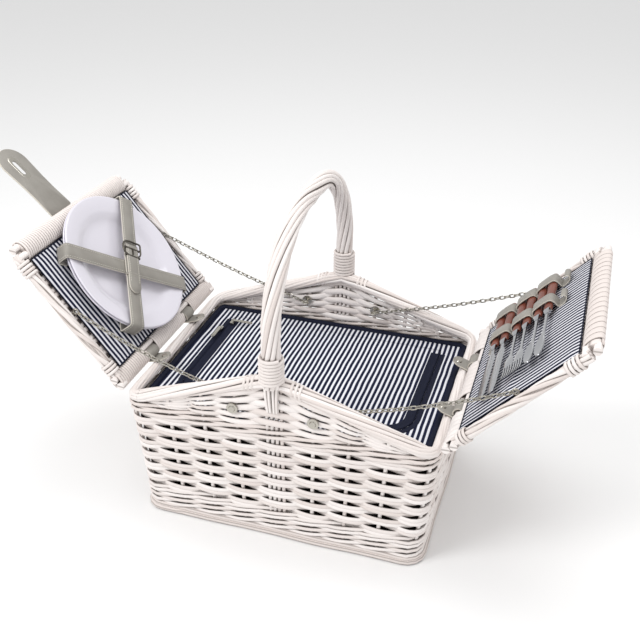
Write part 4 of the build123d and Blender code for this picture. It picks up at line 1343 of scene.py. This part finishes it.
def build_flap():
    """The bag's padded flap with its zip tape."""
    number, top = FLAP_RAYS, BAG_TOP
    edge = flap_ring(-0.4 * MM, number)
    middle = Vector((0, (FLAP_BACK + FLAP_FRONT) / 2, 0))
    rings = [at_height(flap_ring(-6 * MM, number), top - 4.8 * MM), at_height(edge, top - 4.0 * MM),
             at_height(edge, top - 0.9 * MM)]
    for share in (0.99, 0.96, 0.91, 0.84, 0.76, 0.67, 0.57, 0.46, 0.34, 0.22, 0.1, 0.01):
        ring = []
        for p in edge:
            point = middle.lerp(p, share)
            crown = 1.0 * (1 - share ** 6)
            wave = 0.5 * math.sin(point.x / (26 * MM) + 0.8 * math.sin(point.y / (30 * MM)))
            wave += 0.4 * math.sin(point.y / (21 * MM) + point.x / (75 * MM))
            ring.append(Vector((point.x, point.y, top + (crown + wave * (1 - share ** 4)) * 0.9 * MM)))
        rings.append(ring)
    cloth = loft("flap_cloth", rings, [material("bag stripes")],
                 uv=lambda p: (p.x + (top - p.z) * 0.2, p.y))
    settle(cloth, "flap", "striped_cotton_bag", "bag_flap")
    on_bag = tape("bag_tape_cloth", 1.0 * MM, 7.5 * MM, 1.2 * MM, -0.1 * MM)
    settle(on_bag, "basket", "navy_binding", "bag_zip_tape")
    on_flap = tape("flap_tape", -12.0 * MM, -0.6 * MM, 1.4 * MM, 0.0)
    line = [Vector((p.x, p.y, top + 1.0 * MM)) for p, _ in flap_line(-0.9 * MM, 4 * MM)]
    zip_teeth = copies("zip_teeth", [{"points": line}], teeth_shape(), material("navy"), 2.0 * MM)
    settle(join("flap_tape_cloth", [on_flap, zip_teeth]), "flap", "navy_binding", "flap_zip_tape")


# Plates and straps on the left lid

PLATE_U = LID_LENGTH - (5 + 97) * MM
PLATE_BASE = LINING_TOP + 0.2 * MM
PLATE_PITCH = 4.4 * MM
PLATE_PROFILE = ((0, 0.8), (55, 0.8), (57, 0.0), (61, 0.0), (63, 1.0), (69, 4.6), (74, 6.8), (80, 8.0),
                 (94, 10.2), (96.4, 11.0), (97.0, 12.0), (96.2, 12.9), (94.6, 12.9), (88, 11.8), (78, 10.5),
                 (73, 8.8), (67, 5.0), (63, 3.4), (56, 2.8), (0, 2.8))
STRAP_TOP = PLATE_BASE + PLATE_PITCH + 13.6 * MM
STRAP_A = ((57, 66), (-78, -80))
STRAP_B = ((59, -82), (-74, 63))
STRAP_WIDE = 21 * MM


def build_plates():
    """Two shallow white plates, one in the other."""
    for name, node_name, lift in (("plate_below", "lower_plate", 0.0),
                                  ("plate_above", "upper_plate", PLATE_PITCH)):
        matrix = lid_matrix(LEFT) @ Matrix.Translation((PLATE_U, 0, PLATE_BASE + lift))
        profile = [(r * MM, h * MM) for r, h in PLATE_PROFILE]
        plate = lathe(name, profile, [material("porcelain")], matrix, 96)
        settle(plate, "lid_left", "glazed_porcelain", node_name)


STRAP_CIRCLE = 97.6 * MM  # the straps go down beside the plates from here
BUCKLED_LIFT = 2.6 * MM  # the buckled strap lies on the plain one
BUCKLE_AT = 72 * MM  # along the buckled strap


def strap_places(ends, extra):
    """A plate strap's direction, its start, its middle line and how high it crosses the plates."""
    (u0, y0), (u1, y1) = [Vector(e) * MM for e in ends]
    along = Vector((u1 - u0, y1 - y0, 0)).normalized()
    start = Vector((PLATE_U + u0, y0, 0))
    middle = -(u0 * along.x + y0 * along.y)
    off_line = y0 * along.x - u0 * along.y
    half = math.sqrt(STRAP_CIRCLE ** 2 - off_line ** 2)
    near, far = middle - half - 3 * MM, middle + half + 3 * MM
    top, low = STRAP_TOP + extra + 1 * MM, LINING_TOP + 1 * MM
    path = [(near + 13 * MM, low), (near + 4 * MM, low), (near, low), (near, low + 4 * MM),
            (near, top - 5 * MM), (near + 0.4 * MM, top), (near + 6 * MM, top + 0.4 * MM)]
    path += [(middle + half * t * 0.8, top + 0.2 * MM - 0.5 * MM * math.cos(math.pi / 2 * t)) for t in
             (-1, -0.6, -0.3, 0, 0.3, 0.6, 1)]
    path += [(far - 6 * MM, top + 0.4 * MM), (far - 0.4 * MM, top), (far, top - 5 * MM),
             (far, low + 4 * MM), (far, low), (far - 4 * MM, low), (far - 13 * MM, low)]
    points = [start + along * s + OFF_AXIS * off for s, off in path]
    return along, start, smoothed(points, 2), top


def build_plate_straps():
    """Two crossing leather straps over the plates, one with a buckle and its loose tail."""
    matrix = lid_matrix(LEFT)
    leather = [material("leather"), material("cut edge")]
    for name, ends, extra in (("plate_strap_plain", STRAP_B, 0.0),
                              ("plate_strap_buckled", STRAP_A, BUCKLED_LIFT)):
        along, start, path, top = strap_places(ends, extra)
        side = OFF_AXIS.cross(along)
        path = resampled(path, 3 * MM)
        band = ribbon(name, path, side, STRAP_WIDE, 1.8 * MM, leather, matrix)
        outer = path[6:-6]
        seam_lines = edge_lines(outer, side, 1, STRAP_WIDE, 2.6 * MM, 1.05 * MM)
        seams = stitches(name + "_seams", seam_lines, matrix)
        pieces = [band, seams]
        if name == "plate_strap_buckled":
            tail_from = 66 * MM
            points, widths = [], []
            for i in range(22):
                s = tail_from + 74 * MM * i / 21
                lift = top + 2.6 * MM + 0.8 * MM * math.sin(math.pi * i / 21)
                points.append(start + along * s + OFF_AXIS * lift)
                end = max(0.0, (s - tail_from - 62 * MM) / (12 * MM))
                widths.append((STRAP_WIDE - 2 * MM) * math.sqrt(max(0.02, 1 - end ** 2)))
            pieces.append(ribbon("tail", points, side, widths, 1.8 * MM, leather, matrix))
            inner = points[1:-5]
            seam_lines = edge_lines(inner, side, 1, STRAP_WIDE - 2 * MM, 2.6 * MM, 1.05 * MM)
            pieces.append(stitches("tail_seams", seam_lines, matrix))
            keeper_at = start + along * (112 * MM)
            loop = []
            for a, b in ((-11.2, -1.4), (-11.2, 4.0), (11.2, 4.0), (11.2, -1.4)):
                loop.append(keeper_at + side * (a * MM) + OFF_AXIS * (top + b * MM))
            pieces.append(ribbon("keeper", smoothed(loop + [loop[0]], 1), along, 3.2 * MM, 1.2 * MM,
                                 leather, matrix))
            # Painted shade: each strap hole is a thin navy disc lying on the leather, standing for the shade
            # inside the hole.
            for s in (84, 98):
                spot = start + along * (s * MM) + OFF_AXIS * (top + 3.6 * MM)
                hole = [(0, 0.25), (1.3, 0.25), (1.3, 0.0), (0, 0.0)]
                pieces.append(lathe("hole", [(r * MM, h * MM) for r, h in hole], [material("navy")],
                                    matrix @ Matrix.Translation(spot), 12))
        settle(join(name + "_leather", pieces), "lid_left", "grey_leather", name)


def build_buckle():
    """A square wire buckle with a roller on its end bar."""
    matrix = lid_matrix(LEFT)
    along, start, _, top = strap_places(STRAP_A, BUCKLED_LIFT)
    side = OFF_AXIS.cross(along)
    centre = start + along * BUCKLE_AT + OFF_AXIS * (top + 3.0 * MM)
    corners = [(-11.5, -14.5), (11.5, -14.5), (11.5, 14.5), (-11.5, 14.5)]
    loop = [centre + along * (a * MM) + side * (b * MM) for a, b in corners]
    ring = smoothed(loop + [loop[0]], 2)[:-1]
    frame_bar = rods("buckle_frame", [{"points": ring[1:], "closed": True}], material("dark steel"),
                     2.4 * MM, 2.6 * MM, uneven=0.0)
    bars = []
    for a in (0, 11.5):
        bars.append({"points": [centre + along * (a * MM) + side * (b * MM) for b in (-12, 0, 12)]})
    roller = rods("buckle_bars", bars, material("dark steel"), 3.2 * MM, 3.2 * MM, uneven=0.0, sides=12)
    settle(placed(join("plate_buckle_wire", [frame_bar, roller]), matrix), "lid_left", "dark_steel",
           "plate_strap_buckle")
    give_material("plate_strap_buckle_prong", "dark steel")


def give_material(node_name, name):
    """Gives a frame node that stays in the picture its real finish."""
    mesh = bpy.data.objects[frame["nodes"][node_name].name].data
    mesh.materials.clear()
    mesh.materials.append(material(name))


# Closing strap and turn lock

SLOT_AT = 76 * MM
EYELET_SECTION = ((1.0, 15.5, 38), (1.25, 14.4, 37), (1.35, 11, 31), (1.25, 8.8, 24.5), (0.0, 8.0, 23),
                  (-1.7, 8.8, 24.5), (-2.0, 11, 31), (-1.9, 14.4, 37), (-1.2, 15.5, 38),
                  (0, 9, 25))  # off the leather, width and length, millimetres
CLOSURE_WIDE = 48 * MM


def closure_matrix():
    """The hanging strap's own directions: x to its tip, z inwards, on its middle plane."""
    tilt = math.radians(8.5)
    local = Matrix.Translation((LID_LENGTH, 0, -10.25 * MM)) @ Matrix.Rotation(tilt, 4, "Y")
    return lid_matrix(LEFT) @ local


def build_closing_strap():
    """The wide leather strap with a slotted metal eyelet that closes the basket."""
    matrix = closure_matrix()
    leather = [material("leather"), material("cut edge")]
    half = CLOSURE_WIDE / 2
    outline = [Vector((0.4 * MM, -half + 1 * MM, 0))]
    for x, w in ((12, 22.6), (30, 21.6), (50, 21.8), (70, 23.2), (83, 24)):
        outline.append(Vector((x * MM, -w * MM, 0)))
    for i in range(1, 18):
        a = -math.pi / 2 + math.pi * i / 18
        outline.append(Vector((83 * MM + half * math.cos(a), half * math.sin(a), 0)))
    outline += [Vector((p.x, -p.y, 0)) for p in reversed(outline[:6])]
    outer = resampled(outline + [outline[0]], 4 * MM)[:-1]
    centre = Vector((SLOT_AT, 0, 0))

    def slot_point(direction, width, length):
        """On a long rounded slot, in a direction from its middle."""
        straight, r = (length - width) / 2, width / 2
        if abs(direction.x) * r < abs(direction.y) * straight:
            return direction * (r / abs(direction.y))
        b = direction.x * math.copysign(straight, direction.x)
        reach = b + math.sqrt(max(0.0, b * b - straight * straight + r * r))
        return direction * reach

    rings = []
    for z, inset, slot in ((-1.0, 0.35, 0), (-0.8, 0, 0), (0.8, 0, 0), (1.0, 0.35, 0),
                           (1.0, 0, 1), (-1.0, 0, 1)):
        ring = []
        for p in outer:
            direction = (p - centre).normalized()
            if slot:
                point = centre + slot_point(direction, 8 * MM, 23 * MM)
            else:
                point = p - direction * (inset * MM)
            ring.append(Vector((point.x, point.y, z * 1.15 * MM)))
        rings.append(ring)
    tongue = loft("tongue", rings, leather, lambda i, j: 1 if i in (0, 1, 2) else 0, matrix, loop=True)
    inner = [centre + (p - centre).normalized() * ((p - centre).length - 2.6 * MM) for p in outer]
    inner = [p for p in inner if p.x > 3 * MM]
    first = next(i for i, (a, b) in enumerate(zip(inner, inner[1:])) if (b - a).length > 8 * MM) + 1 \
        if any((b - a).length > 8 * MM for a, b in zip(inner, inner[1:])) else 0
    inner = inner[first:] + inner[:first]
    seams = stitches("tongue_seams", [[p - OFF_AXIS * (1.3 * MM) for p in inner]], matrix)
    strap = join("closing_strap_leather", [tongue, seams])
    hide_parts("closure_strap")
    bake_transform(strap)

    rings = []
    for z, width, length in EYELET_SECTION:
        ring = []
        for i in range(40):
            a = 2 * math.pi * i / 40
            point = centre + slot_point(Vector((math.cos(a), math.sin(a), 0)), width * MM, length * MM)
            ring.append(Vector((point.x, point.y, z * MM)))
        rings.append(ring)
    eyelet = loft("eyelet_metal", rings, [material("nickel")], loop=True, matrix=matrix)
    settle(eyelet, "closing_strap", "nickelled_steel", "closure_strap_eyelet")

    lid = lid_matrix(LEFT)
    path = [Vector((u * MM, 0, -10.2 * MM)) for u in np.linspace(180, 212.5, 9)]
    anchor = ribbon("anchor", path, Y_AXIS, CLOSURE_WIDE - 1 * MM, 2.2 * MM, leather, lid)
    line = [[Vector((u * MM, y * MM, -11.5 * MM)) for u in (183, 211)] for y in (-21, 21)]
    line.append([Vector((183 * MM, y * MM, -11.5 * MM)) for y in (-21, 21)])
    settle(join("closing_strap_root", [anchor, stitches("anchor_seams", line, lid)]), "lid_left",
           "grey_leather", "closure_strap_anchor")


# Cutlery on the right lid

CUTLERY = (("knife", 60), ("fork", 95), ("spoon", 128))
CUTLERY_PITCH = 15.2
BUTT_Y = 116
GRIP_MIDDLE = 13.8  # above the lid's middle
LOOP_HALF = 16.0  # half the width of a strip's arch over a pair of grips
NECK_Y = 20
GRIP_SECTIONS = ((BUTT_Y, 3.5, 2.4), (BUTT_Y - 1, 5.2, 3.6), (BUTT_Y - 4, 6.4, 4.5),
                 (BUTT_Y - 14, 6.9, 4.9), (80, 6.6, 4.8), (60, 5.8, 4.4), (40, 5.6, 4.2),
                 (28, 5.9, 4.3), (NECK_Y + 1, 5.6, 4.1), (NECK_Y, 4.4, 3.2))  # place, half width and height
BAR_SECTION = ((1, 0), (0.86, 0.8), (0.4, 1), (-0.4, 1), (-0.86, 0.8), (-1, 0), (-0.86, -0.8), (-0.4, -1),
               (0.4, -1), (0.86, -0.8))


def build_cutlery():
    """Two knives, two forks and two spoons with moulded grips."""
    matrix = lid_matrix(RIGHT)
    for kind, row in CUTLERY:
        for number, step in ((1, -0.5), (2, 0.5)):
            name = f"{kind}_{number}"
            u = (row + step * CUTLERY_PITCH) * MM
            rings = []
            for y, wide, thick in GRIP_SECTIONS:
                rings.append([(u + wide * MM * math.cos(2 * math.pi * i / 20), y * MM,
                               (GRIP_MIDDLE + thick * math.sin(2 * math.pi * i / 20)) * MM)
                              for i in range(20)])
            settle(loft(f"{name}_grip", rings, [material("grip")], matrix=matrix), name, "red_brown_grips",
                   f"{name}_handle")
            steel = cutlery_head(kind, u, matrix)
            node_name = f"{name}_blade" if kind == "knife" else f"{name}_head"
            settle(join(f"{name}_steel", steel), name, "stainless_steel", node_name)


def flat_bar(name, places, matrix, mat="stainless"):
    """A bar from (u, y, off, half width, half thickness) places in millimetres, with rounded edges."""
    rings = []
    for u, y, off, wide, thick in places:
        rings.append([(u + wide * MM * x, y * MM, (off + thick * z) * MM) for x, z in BAR_SECTION])
    return loft(name, rings, [material(mat)], matrix=matrix)


def cutlery_head(kind, u, matrix):
    """The steel of one piece, from its collar to its tip."""
    mid = GRIP_MIDDLE
    pieces = [flat_bar("collar", ((u, 21.5, mid, 5.0, 3.7), (u, 20, mid, 5.0, 3.7), (u, 15, mid, 3.6, 2.8),
                                  (u, 12, mid, 2.6, 2.0)), matrix)]
    if kind == "knife":
        places = [(u, 14, mid, 3.0, 1.6), (u, 4, mid, 3.2, 1.1), (u, -4, mid, 5.6, 0.9),
                  (u, -12, mid, 6.4, 0.8), (u, -60, mid, 6.5, 0.8), (u, -84, mid, 6.2, 0.7),
                  (u, -93, mid, 4.8, 0.6), (u, -97, mid, 2.4, 0.5), (u, -98, mid, 0.8, 0.4)]
        pieces.append(flat_bar("blade", places, matrix))
        return pieces
    stem = [(u, 14, mid, 2.6, 1.6), (u, 0, mid - 0.4, 2.1, 1.2), (u, -20, mid - 0.8, 2.1, 1.1),
            (u, -34, mid - 0.4, 2.6, 1.0)]
    if kind == "spoon":
        stem += [(u, -42, mid, 3.6, 0.9), (u, -46, mid + 0.3, 4.0, 0.6)]
        pieces.append(flat_bar("stem", stem, matrix))
        bowl = matrix @ Matrix.Translation((u, -64 * MM, (mid + 1.0) * MM))
        profile = ((0, -3.4), (0.35, -3.1), (0.65, -2.2), (0.87, -0.8), (1.0, 0.5), (0.985, 0.9),
                   (0.85, 0.1), (0.62, -1.3), (0.35, -2.1), (0, -2.4))
        pieces.append(lathe("bowl", [(r * 7.2 * MM, h * MM) for r, h in profile], [material("stainless")],
                            bowl, 28, scale=(1, 3.1)))
        return pieces
    stem += [(u, -42, mid + 0.3, 5.4, 0.9), (u, -50, mid + 0.4, 7.0, 0.8),
             (u, -58, mid - 0.2, 7.1, 0.8), (u, -60, mid - 0.4, 7.0, 0.7)]
    pieces.append(flat_bar("stem", stem, matrix))
    for k in (-1.5, -0.5, 0.5, 1.5):
        x = u + k * 3.7 * MM
        tine = ((x, -58, mid - 0.2, 1.3, 0.75), (x, -70, mid - 1.0, 1.2, 0.7),
                (x, -79, mid - 0.2, 1.0, 0.6), (x, -85, mid + 0.8, 0.5, 0.4))
        pieces.append(flat_bar("tine", tine, matrix))
    return pieces


def build_cutlery_loops():
    """Leather strips that arch over each pair of grips, sewn down between them."""
    matrix = lid_matrix(RIGHT)
    leather = [material("leather"), material("cut edge")]
    for level, y in (("upper", 96), ("lower", 42)):
        path = [(33, 5.9), (42.6, 5.9)]
        for _, row in CUTLERY:
            low, high = row - LOOP_HALF, row + LOOP_HALF
            path += [(low, 6.2), (low - 0.2, 13), (low + 1.6, 18.6), (low + 6, 20.2), (row, 20.6),
                     (high - 6, 20.2), (high - 1.6, 18.6), (high + 0.2, 13), (high, 6.2)]
        path += [(146, 5.9), (153, 6.2), (158, 8.4), (160, 12.0), (158, 15.2), (154.5, 14.8)]
        corners = [Vector((u * MM, y * MM, off * MM)) for u, off in path]
        points = resampled(smoothed(corners, 2), 2.2 * MM)
        strip = ribbon("loop_strip", points, Y_AXIS, 19.4 * MM, 1.5 * MM, leather, matrix)
        settle(join(f"cutlery_loop_{level}_leather", [strip]), "lid_right", "grey_leather",
               f"cutlery_loops_{level}")


# Chains

def link_shape():
    """One oval wire link lying along X."""
    rings = []
    for i in range(16):
        a = 2 * math.pi * i / 16
        out = Vector((math.cos(a), math.sin(a), 0))
        centre = Vector((2.6 * MM * out.x + math.copysign(1.6 * MM, out.x) * min(1, abs(out.x) * 3),
                         2.2 * MM * out.y, 0))
        rings.append([centre + (out * math.cos(b) + OFF_AXIS * math.sin(b)) * (0.8 * MM)
                      for b in (2 * math.pi * k / 6 for k in range(6))])
    return loft("link", rings, [material("nickel")], loop=True)


def chain_ends(side, front):
    """The chain's two eyes: inside the long wall, and on the lid."""
    lean = (TOP_HALF.y - BASE_HALF.y) / PEAK
    out = Vector((0, front, -lean)).normalized()
    foot = Vector((side * 50 * MM, front * half_sizes(192 * MM)[1], 192 * MM))
    lid_eye = lid_matrix(side) @ Vector((104 * MM, front * 120.5 * MM, 7.6 * MM))
    return foot - out * (21.5 * MM), lid_eye


def build_chain(side, front, step):
    """A chain of alternately turned links from the wall to the lid."""
    start, end = chain_ends(side, front)
    span = end - start
    points = []
    for i in range(41):
        share = i / 40
        drop = 5.0 * MM * math.sin(math.pi * share)
        bow = Vector((0, front * 3.4 * MM * math.sin(math.pi * share) ** 0.5, -drop))
        points.append(start + span * (0.012 + 0.976 * share) + bow)
    name = f"chain_{'front' if front == FRONT else 'back'}_{side_word(side)}"
    chain = copies(name + "_links", [{"points": points}], link_shape(), material("nickel"), step,
                   math.pi / 2)
    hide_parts(name)
    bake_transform(chain)


# Stage

CAMERA_PLACE = Vector((310.17, -950.53, 808.36)) * MM
CAMERA_YAW, CAMERA_PITCH, CAMERA_ROLL = (math.radians(a) for a in (17.464, -29.583, 0.47))


def build_stage(scene):
    """Camera, soft studio light and a pale floor."""
    forward = Vector((-math.sin(CAMERA_YAW) * math.cos(CAMERA_PITCH),
                      math.cos(CAMERA_YAW) * math.cos(CAMERA_PITCH), math.sin(CAMERA_PITCH)))
    right = Vector((math.cos(CAMERA_YAW), math.sin(CAMERA_YAW), 0))
    up = right.cross(forward)
    cos, sin = math.cos(CAMERA_ROLL), math.sin(CAMERA_ROLL)
    right, up = right * cos + up * sin, up * cos - right * sin
    turn = Matrix((right, up, -forward)).transposed().to_4x4()
    data = bpy.data.cameras.new("Camera")
    data.sensor_width = 36
    data.lens = 50.97
    data.clip_start, data.clip_end = 0.05, 30
    camera = bpy.data.objects.new("Camera", data)
    scene.collection.objects.link(camera)
    camera.matrix_world = Matrix.Translation(CAMERA_PLACE) @ turn
    scene.camera = camera

    world = bpy.data.worlds.new("Studio")
    scene.world = world
    world.use_nodes = True
    sky = world.node_tree.nodes["Background"]
    sky.inputs["Color"].default_value = srgb("#FFFFFF")
    sky.inputs["Strength"].default_value = 0.78
    scene.view_settings.view_transform = "Standard"

    for name, place, size, energy in (("Key", (-0.9, -1.1, 1.7), 0.7, 17),
                                      ("Fill", (1.6, -0.9, 1.0), 1.2, 3),
                                      ("Top", (0.2, 0.4, 2.0), 1.0, 11)):
        light = bpy.data.lights.new(name, "AREA")
        light.energy, light.size = energy, size
        lamp = bpy.data.objects.new(name, light)
        scene.collection.objects.link(lamp)
        place = Vector(place)
        aim = (Vector((0, 0, 0.15)) - place).to_track_quat("-Z", "Y")
        lamp.matrix_world = Matrix.Translation(place) @ aim.to_matrix().to_4x4()

    floor = mesh_object("floor", [(-6, -6, 0), (6, -6, 0), (6, 6, 0), (-6, 6, 0)], [(0, 1, 2, 3)],
                        material("floor"), recalculate=False)


# Hardware that keeps its shape from the frame

NICKEL_NODES = ("chain_bolts", "tab_rivets", "lid_left_chain_eyes", "lid_right_chain_eyes",
                "zip_slider", "zip_pull", "parked_zip_slider", "parked_zip_pull",
                "turn_lock_base", "turn_lock_knob")


def finish_hardware():
    """The small metal parts take their nickel finish."""
    for name in NICKEL_NODES:
        give_material(name, "nickel")


# Add-on: settings, one operator for each group of pieces, and a panel

class BasketSettings(bpy.types.PropertyGroup):
    weave_depth: bpy.props.FloatProperty(
        name="Weave Depth", description="How far a weaver swings in and out round the stakes",
        default=WAVE, min=0.0, subtype="DISTANCE", unit="LENGTH")
    unevenness: bpy.props.FloatProperty(
        name="Unevenness", description="How far a willow rod wanders from its line",
        default=0.45 * MM, min=0.0, subtype="DISTANCE", unit="LENGTH")
    handle_turns: bpy.props.FloatProperty(
        name="Handle Turns", description="Full turns of the handle's strands from leg to leg", default=1.7)
    chain_step: bpy.props.FloatProperty(
        name="Chain Step", description="Distance from one chain link to the next",
        default=6.6 * MM, min=MM, subtype="DISTANCE", unit="LENGTH")


class BASKET_OT_walls(bpy.types.Operator):
    """Weave the walls, foot and base of the basket"""
    bl_idname = "basket.walls"
    bl_label = "Walls and Foot"

    def execute(self, context):
        build_walls(context.scene.basket)
        build_foot()
        return {"FINISHED"}


class BASKET_OT_rim(bpy.types.Operator):
    """Make the rim border and the twisted handle"""
    bl_idname = "basket.rim"
    bl_label = "Rim and Handle"

    def execute(self, context):
        build_rim(context.scene.basket)
        build_handle(context.scene.basket)
        return {"FINISHED"}


class BASKET_OT_lids(bpy.types.Operator):
    """Make both lids with their linings and hinge tabs"""
    bl_idname = "basket.lids"
    bl_label = "Lids"

    def execute(self, context):
        for side in (LEFT, RIGHT):
            build_lid_frame(side)
            build_lid_panel(side)
            build_lining(side)
            build_hinge_tabs(side)
        return {"FINISHED"}


class BASKET_OT_bag(bpy.types.Operator):
    """Make the insulated bag with its zipped flap"""
    bl_idname = "basket.bag"
    bl_label = "Bag"

    def execute(self, context):
        build_bag()
        build_flap()
        return {"FINISHED"}


class BASKET_OT_plates(bpy.types.Operator):
    """Make the plates with their buckled straps"""
    bl_idname = "basket.plates"
    bl_label = "Plates and Straps"

    def execute(self, context):
        build_plates()
        build_plate_straps()
        build_buckle()
        return {"FINISHED"}


class BASKET_OT_closing_strap(bpy.types.Operator):
    """Make the closing strap with its metal eyelet"""
    bl_idname = "basket.closing_strap"
    bl_label = "Closing Strap"

    def execute(self, context):
        build_closing_strap()
        return {"FINISHED"}


class BASKET_OT_cutlery(bpy.types.Operator):
    """Make the cutlery and its leather loops"""
    bl_idname = "basket.cutlery"
    bl_label = "Cutlery"

    def execute(self, context):
        build_cutlery()
        build_cutlery_loops()
        return {"FINISHED"}


class BASKET_OT_chains(bpy.types.Operator):
    """Hang the four lid chains and finish the metal fittings"""
    bl_idname = "basket.chains"
    bl_label = "Chains and Fittings"

    def execute(self, context):
        for side in (LEFT, RIGHT):
            for front in (FRONT, BACK):
                build_chain(side, front, context.scene.basket.chain_step)
        finish_hardware()
        return {"FINISHED"}


class BASKET_OT_stage(bpy.types.Operator):
    """Set up the camera, lights and floor"""
    bl_idname = "basket.stage"
    bl_label = "Stage"

    def execute(self, context):
        build_stage(context.scene)
        return {"FINISHED"}


OPERATORS = (BASKET_OT_walls, BASKET_OT_rim, BASKET_OT_lids, BASKET_OT_bag, BASKET_OT_plates,
             BASKET_OT_closing_strap, BASKET_OT_cutlery, BASKET_OT_chains, BASKET_OT_stage)


class BASKET_PT_main(bpy.types.Panel):
    """The basket's settings and the pieces that can be built"""
    bl_idname = "BASKET_PT_main"
    bl_label = "Picnic Basket"
    bl_space_type = "VIEW_3D"
    bl_region_type = "UI"
    bl_category = "Basket"

    def draw(self, context):
        settings = context.scene.basket
        for name in ("weave_depth", "unevenness", "handle_turns", "chain_step"):
            self.layout.prop(settings, name)
        for each in OPERATORS:
            self.layout.operator(each.bl_idname)


def register():
    for each in (BasketSettings, *OPERATORS, BASKET_PT_main):
        bpy.utils.register_class(each)
    bpy.types.Scene.basket = bpy.props.PointerProperty(type=BasketSettings)


def unregister():
    del bpy.types.Scene.basket
    for each in reversed((BasketSettings, *OPERATORS, BASKET_PT_main)):
        bpy.utils.unregister_class(each)


def main():
    register()
    for each in OPERATORS:
        group, name = each.bl_idname.split(".")
        getattr(getattr(bpy.ops, group), name)()


if __name__ == "__main__":
    main()
